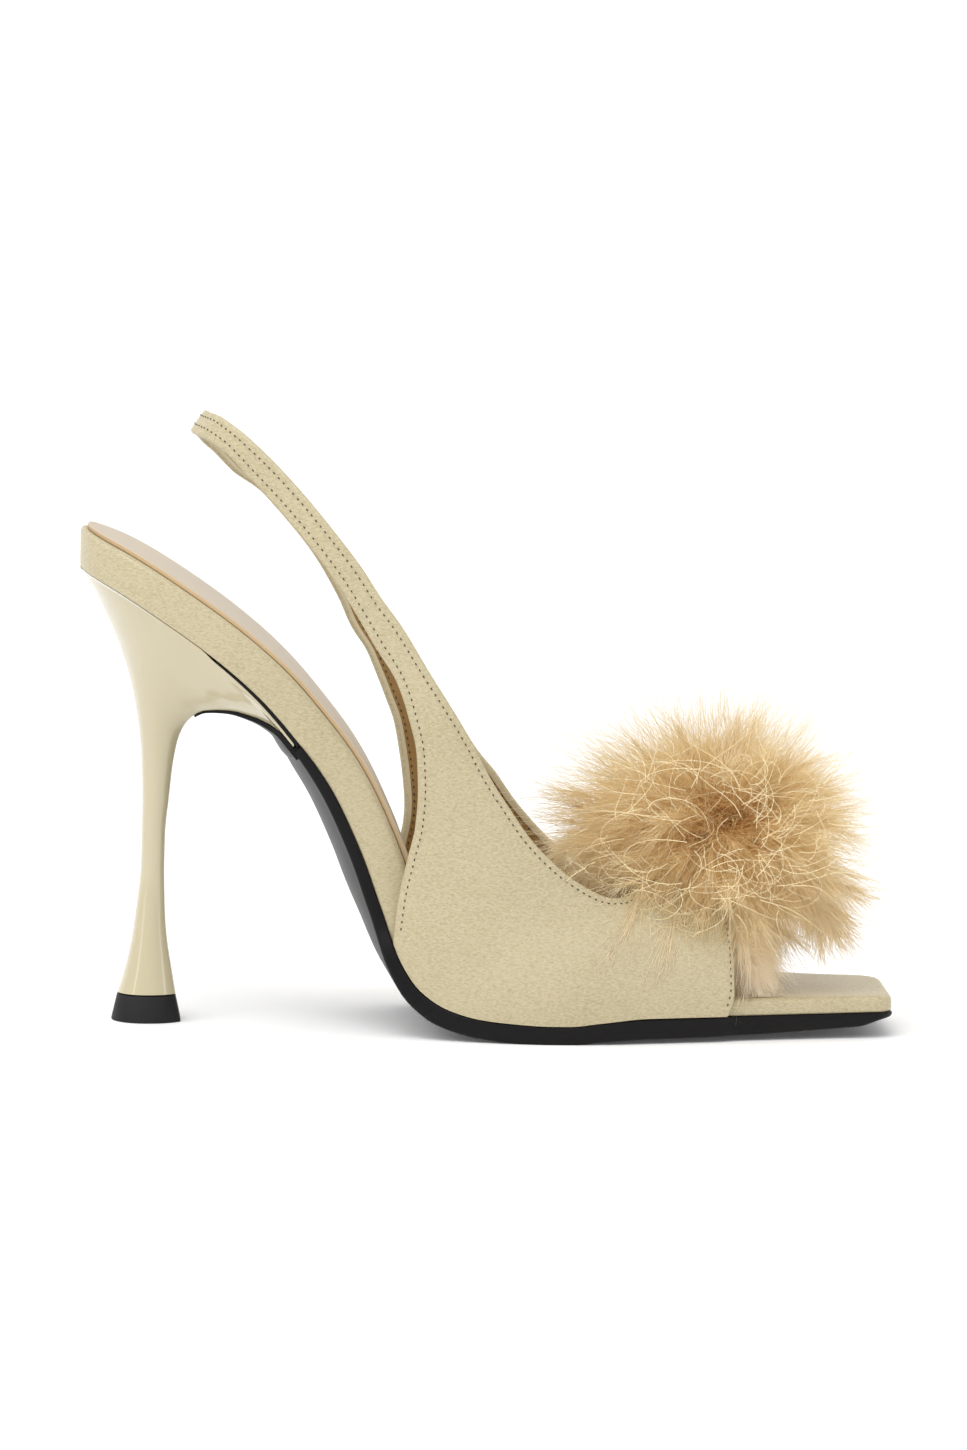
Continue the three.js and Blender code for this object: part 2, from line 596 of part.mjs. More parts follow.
const JOINT = 1.2; // from the lip's end to the waist's rear end
const NOSE = { from: 0.7, to: 3.3, crown: 0.75 }; // the block that joins the flap, the wedge and the waist
const THIN_ROUND = 0.3; // of the thickness, at most, goes into an edge's rounding
const WEDGE_INSET = 0.2;
const WEDGE_ROUND = 0.1;
function outsole() {
  const lipArc = LIP_ARC * ARC_LENGTH;
  const crownAt = (arc) => WAIST_CROWN * crownShare(arc / ARC_LENGTH);
  const rings = stations(lipArc + JOINT, ARC_LENGTH).map((arc) => {
    const round = Math.min(SOLE_EDGE_ROUND, outsoleThickness(arc) * THIN_ROUND);
    const low = -FIT_GAP - outsoleThickness(arc);
    return plateRing(arc, low, -FIT_GAP, outsoleInset(arc), round, round / 2, normalAt, crownAt(arc));
  });
  // The tread is flat where it meets the floor.
  rings.flat().forEach((p) => (p.z = Math.max(p.z, 0)));
  const underSeat = HEEL_SHARES.map((share) => share * lipArc);
  const wedgeArcs = underSeat.filter((arc) => arc > WEDGE_START * ARC_LENGTH);
  const wedgeRings = [...wedgeArcs, lipArc + JOINT + 1].map((arc) =>
    plateRing(arc, -FIT_GAP - wedgeAt(arc / ARC_LENGTH), -FIT_GAP, WEDGE_INSET, WEDGE_ROUND, WEDGE_ROUND),
  );
  const noseLow = -FIT_GAP - LIP_EDGE - FIT_GAP - FLAP_THICKNESS;
  const noseCrown = NOSE.crown * crownAt(lipArc);
  const nose = [NOSE.from, NOSE.to].map((ahead) => {
    const arc = lipArc + ahead;
    return plateRing(arc, noseLow, -FIT_GAP, WEDGE_INSET, LOWER_EDGE_ROUND, WEDGE_ROUND, normalAt, noseCrown);
  });
  return geometryOf(
    solid(loft(rings)).add(solid(loft(wedgeRings))).add(solid(loft(nose))).add(solid(flap(noseCrown))),
  );
}

// The upper's ribs are counted along one side: from the back seam (0) down the quarter to its foot, along
// the sole to the vamp's front foot, and over the vamp's mouth to its middle.
const BEND_RIB = 4; // the strap's bend round the heel ends here
const ROOM_RIB = 10; // feathers can reach the upper from here on
const QUARTER_RIB = 16;
const VAMP_RIB = 23;
const MIDDLE_RIB = 29;

// The topline: along is a share of the way from the strap's back to the throat, out a share of half the
// QUARTER_WIDTH, rise a share of the way up from the throat's height to STRAP_TOP, and drop how much
// lower the medial side lies, as a share of STRAP_WIDTH.
const TOPLINE = [
  { at: 0, along: 0, out: 0, rise: 1, drop: 0 },
  { at: 1, along: 0.022, out: 0.254, rise: 0.997, drop: 0.25 },
  { at: 2, along: 0.0645, out: 0.451, rise: 0.972, drop: 0.385 },
  { at: 3, along: 0.132, out: 0.606, rise: 0.9145, drop: 0.405 },
  { at: 4, along: 0.2065, out: 0.732, rise: 0.8395, drop: 0.385 },
  { at: 5, along: 0.277, out: 0.834, rise: 0.7575, drop: 0.405 },
  { at: 6, along: 0.3405, out: 0.915, rise: 0.676, drop: 0.46 },
  { at: 7, along: 0.384, out: 0.958, rise: 0.61, drop: 0.46 },
  { at: 8, along: 0.429, out: 0.986, rise: 0.55, drop: 0.42 },
  { at: 9, along: 0.4945, out: 1, rise: 0.445, drop: 0.365 },
  { at: 10, along: 0.541, out: 1, rise: 0.374, drop: 0.33 },
  { at: 11, along: 0.587, out: 0.992, rise: 0.299, drop: 0.23 },
  { at: 12, along: 0.633, out: 0.98, rise: 0.213, drop: 0.08 },
  { at: 13, along: 0.679, out: 0.966, rise: 0.142, drop: -0.12 },
  { at: 14, along: 0.724, out: 0.949, rise: 0.078, drop: -0.13 },
  { at: 15, along: 0.77, out: 0.93, rise: 0.029, drop: -0.08 },
  { at: 16, along: 0.81, out: 0.91, rise: -0.006, drop: -0.02 },
  { at: 17, along: 0.839, out: 0.89, rise: -0.026, drop: 0 },
  { at: 18, along: 0.867, out: 0.868, rise: -0.043, drop: 0 },
  { at: 19, along: 0.894, out: 0.839, rise: -0.055, drop: 0 },
  { at: 20, along: 0.917, out: 0.806, rise: -0.06, drop: 0 },
  { at: 21, along: 0.938, out: 0.761, rise: -0.06, drop: 0 },
  { at: 22, along: 0.954, out: 0.704, rise: -0.056, drop: 0 },
  { at: 23, along: 0.967, out: 0.637, rise: -0.049, drop: 0 },
  { at: 24, along: 0.977, out: 0.558, rise: -0.039, drop: 0 },
  { at: 25, along: 0.985, out: 0.468, rise: -0.028, drop: 0 },
  { at: 26, along: 0.992, out: 0.363, rise: -0.017, drop: 0 },
  { at: 27, along: 0.996, out: 0.248, rise: -0.007, drop: 0 },
  { at: 28, along: 0.999, out: 0.124, rise: -0.002, drop: 0 },
  { at: MIDDLE_RIB, along: 1, out: 0, rise: 0, drop: 0 },
];

// The quarter's rear edge: along is a share of the way from the strap's lower edge at the back to the
// quarter's foot, out a share of half the QUARTER_WIDTH, hug a share of the way from there in to the
// sole's edge, rise a share of the way up from the foot to the strap, and slack how much wider the
// medial side is, as a share of STRAP_WIDTH.
const REAR_EDGE = [
  { at: 0, along: 0, out: 0, hug: 0, rise: 1, slack: 0 },
  { at: 1, along: 0.041, out: 0.239, hug: 0, rise: 0.997, slack: 0.25 },
  { at: 2, along: 0.134, out: 0.417, hug: 0, rise: 0.977, slack: 0.63 },
  { at: 3, along: 0.264, out: 0.549, hug: 0, rise: 0.927, slack: 0.77 },
  { at: 4, along: 0.411, out: 0.685, hug: 0, rise: 0.866, slack: 0.46 },
  { at: 5, along: 0.563, out: 0.797, hug: 0, rise: 0.795, slack: 0.46 },
  { at: 6, along: 0.7, out: 0.873, hug: 0, rise: 0.723, slack: 0.54 },
  { at: 7, along: 0.8, out: 0.916, hug: 0, rise: 0.659, slack: 0.62 },
  { at: 8, along: 0.881, out: 0.947, hug: 0, rise: 0.604, slack: 0.77 },
  { at: 9, along: 0.996, out: 0.958, hug: 0, rise: 0.528, slack: 0.88 },
  { at: 10, along: 1.055, out: 0.957, hug: 0.02, rise: 0.457, slack: 0.73 },
  { at: 11, along: 1.095, out: 0.955, hug: 0.06, rise: 0.385, slack: 0.52 },
  { at: 12, along: 1.105, out: 0.952, hug: 0.18, rise: 0.304, slack: 0.29 },
  { at: 13, along: 1.097, out: 0.95, hug: 0.42, rise: 0.242, slack: 0.06 },
  { at: 14, along: 1.063, out: 0.95, hug: 0.7, rise: 0.173, slack: -0.17 },
  { at: 15, along: 1.022, out: 0.95, hug: 0.92, rise: 0.087, slack: -0.14 },
  { at: QUARTER_RIB, along: 1, out: 0.95, hug: 1, rise: 0, slack: 0 },
];

// The vamp's mouth: lead is how far it leans forward of its foot, as a share of its height, out a share
// of the foot's distance from the middle, and rise a share of the way from the foot to MOUTH_HEIGHT.
const MOUTH = [
  { at: VAMP_RIB, lead: 0, out: 1, rise: 0 },
  { at: 24, lead: 0.05, out: 1.007, rise: 0.216 },
  { at: 25, lead: 0.047, out: 0.94, rise: 0.45 },
  { at: 26, lead: 0.025, out: 0.784, rise: 0.72 },
  { at: 27, lead: -0.014, out: 0.488, rise: 0.906 },
  { at: 28, lead: -0.054, out: 0.216, rise: 0.986 },
  { at: MIDDLE_RIB, lead: -0.065, out: 0, rise: 1 },
];

// How far a rib's middle stands out from the straight line between its ends, as a share of its length.
const FULLNESS = [
  { at: 0, full: 0.01 },
  { at: 7, full: 0.015 },
  { at: 8, full: 0.02 },
  { at: 9, full: 0.04 },
  { at: 10, full: 0.07 },
  { at: 11, full: 0.1 },
  { at: 13, full: 0.118 },
  { at: 14, full: 0.124 },
  { at: 16, full: 0.116 },
  { at: 18, full: 0.1 },
  { at: 20, full: 0.108 },
  { at: 22, full: 0.118 },
  { at: 23, full: 0.118 },
  { at: 24, full: 0.09 },
  { at: 25, full: 0.065 },
  { at: 27, full: 0.035 },
  { at: MIDDLE_RIB, full: 0.03 },
];

// A table's rows and their mirror images past the back seam and the vamp's middle, so that its curves
// cross those smoothly. out changes sign there.
function mirrored(rows, ends) {
  const image = (r, about) => ({ ...r, at: 2 * about - r.at, out: -r.out });
  const before = ends.includes(0) ? rows.slice(1, 3).map((r) => image(r, 0)).reverse() : [];
  const atMiddle = ends.includes(MIDDLE_RIB);
  const after = atMiddle ? rows.slice(-3, -1).map((r) => image(r, MIDDLE_RIB)).reverse() : [];
  return [...before, ...rows, ...after];
}
function curvesOf(rows, ends) {
  const all = mirrored(rows, ends);
  const keys = Object.keys(rows[0]).filter((k) => k !== "at");
  const found = Object.fromEntries(keys.map((k) => [k, through(all, k)]));
  return (at) => Object.fromEntries(keys.map((k) => [k, found[k](at)]));
}
const toplineAt = curvesOf(TOPLINE, [0, MIDDLE_RIB]);
const rearEdgeAt = curvesOf(REAR_EDGE, [0]);
const mouthAt = curvesOf(MOUTH, [MIDDLE_RIB]);
const fullnessAt = through(FULLNESS, "full");

const strapTopX = SEAT_BACK + STRAP_BACK;
const throatX = SEAT_BACK + THROAT_REACH;
const downStrap = v3(-Math.sin(radians(STRAP_LEAN)), 0, -Math.cos(radians(STRAP_LEAN)));
const strapLow = v3(strapTopX, 0, STRAP_TOP).addScaledVector(downStrap, STRAP_WIDTH);
const signOf = (side) => (side === "lateral" ? -1 : 1);

// Where a rib stands on the sole, and where the upper's outer face meets it there.
const soleArc = (at) => mix(quarterArc, vampArc, (at - QUARTER_RIB) / (VAMP_RIB - QUARTER_RIB));
function footPoint(arc, side) {
  const s = station(arc);
  return v3(s.x, signOf(side) * (half(arc, side) + upperRim), s.z + FOOT_LIFT);
}

function toplinePoint(at, side) {
  const r = toplineAt(at);
  const p = v3(
    mix(strapTopX, throatX, r.along),
    (signOf(side) * r.out * QUARTER_WIDTH) / 2,
    mix(THROAT_HEIGHT, STRAP_TOP, r.rise),
  );
  return side === "lateral" ? p : p.addScaledVector(downStrap, r.drop * STRAP_WIDTH);
}

function edgePoint(at, side) {
  if (at <= QUARTER_RIB) {
    const r = rearEdgeAt(at);
    const foot = footPoint(quarterArc, side);
    const out = mix((signOf(side) * r.out * QUARTER_WIDTH) / 2, foot.y, r.hug);
    const p = v3(mix(strapLow.x, foot.x, r.along), out, mix(foot.z, strapLow.z, r.rise));
    if (side === "lateral") return p;
    const away = p.clone().sub(toplinePoint(at, side)).normalize();
    return p.addScaledVector(away, r.slack * STRAP_WIDTH);
  }
  if (at <= VAMP_RIB) return footPoint(soleArc(at), side);
  const r = mouthAt(at);
  const foot = footPoint(vampArc, side);
  const tall = MOUTH_HEIGHT - foot.z;
  return v3(foot.x + r.lead * tall, foot.y * r.out, foot.z + r.rise * tall);
}

// One rib's points on the outer face, from the topline to the outer edge. The rib bows out square to
// itself and to the line through its neighbours' middles.
const RIB_SHARES = [0, 0.15, 0.34, 0.55, 0.75, 0.9, 1];
const NEIGHBOUR = 0.6;
function ribPoints(at, side) {
  const top = toplinePoint(at, side);
  const edge = edgePoint(at, side);
  const middle = (a) => toplinePoint(a, side).add(edgePoint(a, side)).multiplyScalar(0.5);
  const run = middle(Math.min(MIDDLE_RIB, at + NEIGHBOUR)).sub(middle(Math.max(0, at - NEIGHBOUR)));
  if (at < NEIGHBOUR || at > MIDDLE_RIB - NEIGHBOUR) [run.x, run.z] = [0, 0]; // square across the shoe
  const chord = edge.clone().sub(top);
  const out = new THREE.Vector3().crossVectors(chord, run).normalize();
  if (out.dot(v3(at < BEND_RIB ? -1 : 0, signOf(side), at > VAMP_RIB ? 1 : 0)) < 0) out.negate();
  const bow = fullnessAt(at) * chord.length();
  return RIB_SHARES.map((v) =>
    top.clone().lerp(edge, v).addScaledVector(out, 4 * v * (1 - v) * bow),
  );
}

// Where the ribs lie: close at the round back of the strap and wherever the quarter and vamp curve.
const CLOSE_RIB = 14; // the ribs stand half a step apart from here on
function ribPlaces() {
  const places = [];
  const run = (from, to, step) => {
    for (let at = from; at < to; at += step) places.push(at);
  };
  run(0, BEND_RIB, 0.5);
  run(BEND_RIB, CLOSE_RIB, 1);
  run(CLOSE_RIB, MIDDLE_RIB, 0.5);
  places.push(MIDDLE_RIB);
  return places;
}
const MIDDLE_INDEX = ribPlaces().length - 1;

// The whole grid, down the lateral side from the back seam and up the medial side to it again.
function upperGrid() {
  const places = ribPlaces();
  const lateral = places.map((at) => ({ at, side: "lateral" }));
  const medial = places.slice(1, -1).map((at) => ({ at, side: "medial" })).reverse();
  const ribs = [...lateral, ...medial].map((r) => ({ ...r, points: ribPoints(r.at, r.side) }));
  const count = ribs.length;
  ribs.forEach((rib, i) => {
    const before = ribs[(i + count - 1) % count].points;
    const after = ribs[(i + 1) % count].points;
    rib.normals = rib.points.map((_, j) => {
      const along = after[j].clone().sub(before[j]);
      const below = rib.points[Math.min(j + 1, RIB_SHARES.length - 1)];
      const down = below.clone().sub(rib.points[Math.max(j - 1, 0)]);
      return along.cross(down).normalize();
    });
    rib.onSole = rib.at >= QUARTER_RIB && rib.at <= VAMP_RIB;
    if (!rib.onSole) return;
    const s = station(soleArc(rib.at));
    const up = v3(s.nx, 0, s.nz);
    const last = rib.normals[RIB_SHARES.length - 1];
    last.addScaledVector(up, -last.dot(up)).normalize();
  });
  const middle = ribs[MIDDLE_INDEX];
  const flip = middle.normals[0].z < 0;
  if (flip) ribs.forEach((rib) => rib.normals.forEach((n) => n.negate()));
  return ribs;
}

// One closed section through the wall at a rib: the outer face, the folded outer edge, the inner face
// and the folded topline. Where the rib stands on the sole, its edge is cut flat.
const FOLD = 0.4;
function wallSection(rib) {
  const { points, normals } = rib;
  const inner = points.map((p, j) => p.clone().addScaledVector(normals[j], -UPPER_WALL));
  const last = points.length - 1;
  const fold = (j, next, amount) =>
    points[j].clone().add(inner[j]).multiplyScalar(0.5)
      .addScaledVector(points[j].clone().sub(points[next]).normalize(), amount * UPPER_WALL);
  const [topline, foot] = [fold(0, 1, FOLD), fold(last, last - 1, rib.onSole ? 0 : FOLD)];
  return [...points, foot, ...inner.reverse(), topline];
}

function upper() {
  const sections = upperGrid().map(wallSection);
  const n = sections[0].length;
  const position = sections.flat().flatMap((p) => [p.x, p.y, p.z]);
  const index = [];
  sections.forEach((_, i) => {
    const next = (i + 1) % sections.length;
    for (let j = 0; j < n; j++) {
      const k = (j + 1) % n;
      index.push(i * n + j, i * n + k, next * n + k, i * n + j, next * n + k, next * n + j);
    }
  });
  return closed(position, index);
}

// The room that the vamp and quarters keep free of feathers: everything from one gap outside their
// outer face in towards a line along the middle of the foot.
const ROOM_CENTRE = 0.34 * THROAT_HEIGHT; // that line's height
const ROOM_CORE = 0.1;
const FOLD_BEHIND = 0.5; // of the wall: the topline's fold lies this much further back at the throat
const foldRoom = (FOLD + FOLD_BEHIND) * UPPER_WALL + FIT_GAP;
function vampRoom() {
  const ribs = upperGrid().filter((r) => r.at >= ROOM_RIB);
  return loft(
    ribs.map(({ points, normals, onSole }) => {
      const outer = points.map((p, j) => p.clone().addScaledVector(normals[j], FIT_GAP));
      const past = (j, next) => {
        const away = points[j].clone().sub(points[next]).normalize();
        outer[j].addScaledVector(away, foldRoom);
      };
      past(0, 1);
      if (!onSole) past(points.length - 1, points.length - 2);
      const inner = outer.map((p) => v3(p.x, p.y * ROOM_CORE, mix(ROOM_CENTRE, p.z, ROOM_CORE)));
      return [...outer, ...inner.reverse()];
    }),
  );
}

// One lock of feathers: a flat tapering strip that leaves the core's centre, spreads and droops.
const LOCK_STEPS = [
  { t: 0.4, wide: 0.9 },
  { t: 0.64, wide: 1 },
  { t: 0.84, wide: 0.66 },
  { t: 1, wide: 0.1 },
];
const LOCK_DROOP = 0.2;
const LOCK_LOWEST = 13.5;
const noise = (i, k) => {
  const v = Math.sin(i * 12.9898 + k * 78.233) * 43758.5453;
  return v - Math.floor(v);
};
function lock(i, direction, centre) {
  const length = LOCK_LENGTH * mix(0.8, 1, noise(i, 1));
  const aside = new THREE.Vector3().crossVectors(direction, v3(0.2, 0.1, 1)).normalize();
  const curl = mix(-0.16, 0.16, noise(i, 2)) * length;
  const path = LOCK_STEPS.map(({ t }) => {
    const p = centre.clone().addScaledVector(direction, t * length).addScaledVector(aside, curl * t * t);
    p.z -= LOCK_DROOP * length * t * t * (1 - 0.7 * direction.z);
    p.z = Math.max(p.z, LOCK_LOWEST);
    return p;
  });
  const rings = path.map((p, k) => {
    const ahead = path[Math.min(k + 1, path.length - 1)];
    const run = ahead.clone().sub(path[Math.max(k - 1, 0)]).normalize();
    const tilt = v3(noise(i, 3) - 0.5, noise(i, 4) - 0.5, 1);
    const across = new THREE.Vector3().crossVectors(run, tilt).normalize();
    const over = new THREE.Vector3().crossVectors(across, run);
    const w = LOCK_ROOT * LOCK_STEPS[k].wide;
    const corner = (a, b) => p.clone().addScaledVector(across, a * w).addScaledVector(over, b * w);
    return [corner(0.5, 0), corner(0, 0.3), corner(-0.5, 0), corner(0, -0.3)];
  });
  return loft(rings);
}

const GOLDEN_ANGLE = Math.PI * (3 - Math.sqrt(5));
const LOWEST_LOCK = -0.62; // of the locks' directions, upwards
const hangsInShoe = (direction) => direction.x < -0.25 && direction.z < 0.05;
function pompom() {
  const centre = v3(SEAT_BACK + POMPOM_BACK, 0, POMPOM_HEIGHT);
  const core = new THREE.IcosahedronGeometry(0.5, 2);
  core.deleteAttribute("normal");
  core.deleteAttribute("uv");
  core.scale(POMPOM_LENGTH, POMPOM_WIDTH, POMPOM_DEPTH);
  core.translate(centre.x, centre.y, centre.z);
  const locks = [];
  for (let i = 0; i < LOCK_COUNT; i++) {
    const up = mix(1, LOWEST_LOCK, (i + 0.5) / LOCK_COUNT);
    const flat = Math.sqrt(1 - up * up);
    const turn = i * GOLDEN_ANGLE;
    const direction = v3(flat * Math.cos(turn), flat * Math.sin(turn), up);
    if (!hangsInShoe(direction)) locks.push(lock(i, direction, centre));
  }
  const bodies = [mergeVertices(core, 1e-3), ...locks].map(solid);
  const whole = wasm.Manifold.union(bodies).subtract(solid(vampRoom()));
  const parts = whole.decompose().sort((a, b) => b.volume() - a.volume());
  return geometryOf(parts[0]);
}

const finish = (color, roughness) => new THREE.MeshStandardMaterial({ color, roughness });
const SATIN = finish(0xcfc193, 0.45);
const LACQUER = finish(0xd6cda9, 0.12);
const BLACK_LEATHER = finish(0x2b292b, 0.3);
const RUBBER = finish(0x232223, 0.55);
const CREAM_LEATHER = finish(0xefe6de, 0.4);
const MARABOU = finish(0xdfc089, 0.9);

const sandal = new THREE.Group();
function add(name, geometry, material) {
  const mesh = new THREE.Mesh(geometry, material);
  mesh.name = name;
  sandal.add(mesh);
}
add("heel_tip", heelTip(), RUBBER);
add("heel", heel(), LACQUER);
add("outsole", outsole(), BLACK_LEATHER);
add("footbed", footbed(), SATIN);
add("insole", insole(), CREAM_LEATHER);
add("upper", upper(), SATIN);
add("pompom", pompom(), MARABOU);

export default sandal;
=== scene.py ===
"""A satin slingback sandal with a lacquered stiletto heel and a marabou pompom.

Every shape is a surface worked out from the last: the seat line gives the shoe's side view, the outline
its plan, and the upper, footbed, sole and heel are grids over those two. Lengths are in millimetres and
are turned to metres where a mesh is made.
"""

import math

import bmesh
import bpy
import numpy as np
from bpy.props import FloatProperty, FloatVectorProperty, IntProperty, PointerProperty
from mathutils import Matrix, Vector


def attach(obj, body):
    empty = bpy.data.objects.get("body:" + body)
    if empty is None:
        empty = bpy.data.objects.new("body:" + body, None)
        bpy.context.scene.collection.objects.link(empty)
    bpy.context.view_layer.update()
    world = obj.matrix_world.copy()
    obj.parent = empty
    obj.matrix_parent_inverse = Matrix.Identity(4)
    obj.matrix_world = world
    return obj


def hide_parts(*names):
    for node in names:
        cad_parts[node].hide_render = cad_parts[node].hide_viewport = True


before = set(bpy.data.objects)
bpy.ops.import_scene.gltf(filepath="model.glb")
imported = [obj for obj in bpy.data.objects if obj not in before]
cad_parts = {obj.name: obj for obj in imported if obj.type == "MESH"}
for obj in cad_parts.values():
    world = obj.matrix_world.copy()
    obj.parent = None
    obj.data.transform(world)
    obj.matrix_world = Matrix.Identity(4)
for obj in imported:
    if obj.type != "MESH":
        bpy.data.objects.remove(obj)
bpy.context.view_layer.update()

bl_info = {
    "name": "Slingback sandal",
    "version": (1, 0, 0),
    "blender": (4, 5, 0),
    "location": "View3D > Sidebar > Sandal",
    "description": "Builds a satin slingback sandal with a stiletto heel and a feather pompom",
    "category": "Object",
}

MM = 0.001
BODY = "root"

# Sizes of the last, as in the frame's solids
SHOE_LENGTH = 198.5
SEAT_RISE = 105.9
SEAT_OVERHANG = 17.5
BALL_WIDTH = 69.0
SEAT_WIDTH = 50.4
WAIST_WIDTH = 44.8
TOE_WIDTH = 36.0
TOE_CORNER = {-1: 4.0, 1: 7.0}
OUTSOLE_TREAD = 4.7
OUTSOLE_WAIST = 2.7
FOOTBED_REAR = 9.0
FOOTBED_FRONT = 4.0
INSOLE_THICKNESS = 1.0
INSOLE_MARGIN = 1.9
INSOLE_END = 0.8
UPPER_WALL = 1.6
SOLE_RIM = 0.5
FIT_GAP = 0.3
SEAM = 0.12
TIP_LENGTH = 17.0
TIP_TOP_LENGTH = 14.1
TIP_HEIGHT = 6.5
NECK_LENGTH = 5.8
NECK_HEIGHT = 42.0
NECK_WIDTH = 6.6
NECK_MIDDLE = 1.2
ARCH_HEIGHT = 77.3
FLAP_THICKNESS = 1.7
WAIST_CROWN = 3.2
WEDGE_THICKNESS = 0.6
LIP_ARC = 0.266
LIP_EDGE = 0.7
WEDGE_START = 0.155
WEDGE_TAPER = 0.35
WEDGE_RUN = 0.02
WEDGE_INSET = 0.2
CUP_INSET = 0.4
QUARTER_WIDTH = 71.0
STRAP_TOP = 148.7
STRAP_BACK = 29.3
STRAP_WIDTH = 5.2
STRAP_LEAN = math.radians(34)
THROAT_HEIGHT = 41.0
THROAT_REACH = 138.5
MOUTH_HEIGHT = 33.8
QUARTER_FOOT = 0.3855
VAMP_FOOT = 0.793

SEAT_BACK = -SEAT_OVERHANG
TREAD_LINE = OUTSOLE_TREAD + FIT_GAP
SEAT_TOP = TREAD_LINE + SEAT_RISE
LATERAL, MEDIAL = -1, 1

# The seat line from the side: share of SHOE_LENGTH from the seat back, share of SEAT_RISE
SEAT_LINE = [
    (0, 1), (0.048, 0.956), (0.109, 0.885), (0.17, 0.803), (0.219, 0.723), (0.2635, 0.629),
    (0.305, 0.524), (0.3436, 0.379), (0.37, 0.248), (0.394, 0.129), (0.4186, 0.063), (0.451, 0.0245),
    (0.491, 0.0047), (0.52, -0.001), (0.577, -0.0062), (0.6, -0.0062), (0.636, 0.001),
    (0.697, 0.0104), (0.894, 0.0113), (1, 0.0135),
]

# Half widths of the footbed: share of the arc, named width, lateral and medial shares of it
OUTLINE = [
    (0.08, SEAT_WIDTH, 0.492, 0.492), (0.128, SEAT_WIDTH, 0.5, 0.5), (0.18, SEAT_WIDTH, 0.496, 0.494),
    (0.24, WAIST_WIDTH, 0.532, 0.525), (0.36, WAIST_WIDTH, 0.5, 0.482), (0.42, WAIST_WIDTH, 0.512, 0.502),
    (0.48, WAIST_WIDTH, 0.552, 0.556), (0.535, BALL_WIDTH, 0.4, 0.404), (0.6, BALL_WIDTH, 0.46, 0.458),
    (0.663, BALL_WIDTH, 0.488, 0.496), (0.711, BALL_WIDTH, 0.48, 0.512), (0.759, BALL_WIDTH, 0.447, 0.493),
    (0.811, BALL_WIDTH, 0.402, 0.438), (0.862, TOE_WIDTH, 0.69, 0.735), (0.91, TOE_WIDTH, 0.611, 0.636),
    (0.958, TOE_WIDTH, 0.547, 0.547), (1, TOE_WIDTH, 0.5, 0.5),
]

# Share of the arc, share of the way from the front thickness to the rear one
FOOTBED_TAPER = [(0, 1), (0.47, 1), (0.56, 0.38), (0.62, 0.07), (0.68, 0), (1, 0)]

# Share of the arc, share of the way from the waist's thickness to the tread's
OUTSOLE_TAPER = [
    (0.26, -0.45), (0.31, -0.15), (0.38, 0), (0.47, 0.1), (0.5, 0.25), (0.54, 0.6), (0.56, 0.75),
    (0.605, 0.76), (0.618, 0.85), (0.684, 0.85), (0.704, 0.76), (0.754, 1), (0.803, 0.95),
    (0.856, 0.85), (0.906, 0.6), (0.936, 0.4), (0.967, 0.2), (0.988, -0.55), (1, -0.85),
]

# Share of the arc, share of WAIST_CROWN that the underside bulges by
CROWN_TAPER = [(0.26, 0.8), (0.3, 1), (0.4, 1), (0.47, 0.65), (0.53, 0.1), (0.56, 0), (1, 0)]


def through(rows, column=1, at=0):
    """A smooth curve through the rows that never overshoots: piecewise cubic, each slope the harmonic
    mean of its neighbours and level where they differ in sign. Returns a function of an array."""
    x = np.array([r[at] for r in rows], float)
    y = np.array([r[column] for r in rows], float)
    secant = np.diff(y) / np.diff(x)
    slope = np.empty_like(y)
    slope[0], slope[-1] = secant[0], secant[-1]
    a, b = secant[:-1], secant[1:]
    both = a + b
    slope[1:-1] = np.where(a * b <= 0, 0, 2 * a * b / np.where(both == 0, 1, both))

    def curve(t):
        t = np.clip(np.asarray(t, float), x[0], x[-1])
        k = np.clip(np.searchsorted(x, t, side="right") - 1, 0, len(x) - 2)
        h = x[k + 1] - x[k]
        s = (t - x[k]) / h
        return (
            y[k] * (1 + 2 * s) * (1 - s) ** 2
            + y[k + 1] * s * s * (3 - 2 * s)
            + h * (slope[k] * s * (1 - s) ** 2 - slope[k + 1] * s * s * (1 - s))
        )

    return curve


def ease(t):
    t = np.clip(t, 0, 1)
    return t * t * (3 - 2 * t)


def mix(a, b, t):
    return a + (b - a) * t


def unit(v):
    return v / np.maximum(np.linalg.norm(v, axis=-1, keepdims=True), 1e-9)


def points(x, y, z):
    return np.stack(np.broadcast_arrays(x, y, z), axis=-1).astype(float)


def hex_rgb(code):
    """An sRGB hex colour as a linear colour."""
    c = np.array([int(code[i : i + 2], 16) for i in (1, 3, 5)]) / 255
    c = np.where(c <= 0.04045, c / 12.92, ((c + 0.055) / 1.055) ** 2.4)
    return (*map(float, c), 1.0)


# The seat line sampled along itself
_line_x = SEAT_BACK + np.linspace(0, 1, 1601) * SHOE_LENGTH
_line_z = TREAD_LINE + SEAT_RISE * through(SEAT_LINE)((_line_x - SEAT_BACK) / SHOE_LENGTH)
_line_arc = np.concatenate([[0], np.cumsum(np.hypot(np.diff(_line_x), np.diff(_line_z)))])
ARC = float(_line_arc[-1])
SLOPE_SPAN = 2.0


def arc_at_x(x):
    return np.interp(x, _line_x, _line_arc)


def station(arc):
    """Place and unit normal on the seat line; the slope is taken over a short span either way."""
    x, z = np.interp(arc, _line_arc, _line_x), np.interp(arc, _line_arc, _line_z)
    low, high = np.clip(arc - SLOPE_SPAN, 0, ARC), np.clip(arc + SLOPE_SPAN, 0, ARC)
    dx = np.interp(high, _line_arc, _line_x) - np.interp(low, _line_arc, _line_x)
    dz = np.interp(high, _line_arc, _line_z) - np.interp(low, _line_arc, _line_z)
    n = np.hypot(dx, dz)
    return x, z, -dz / n, dx / n


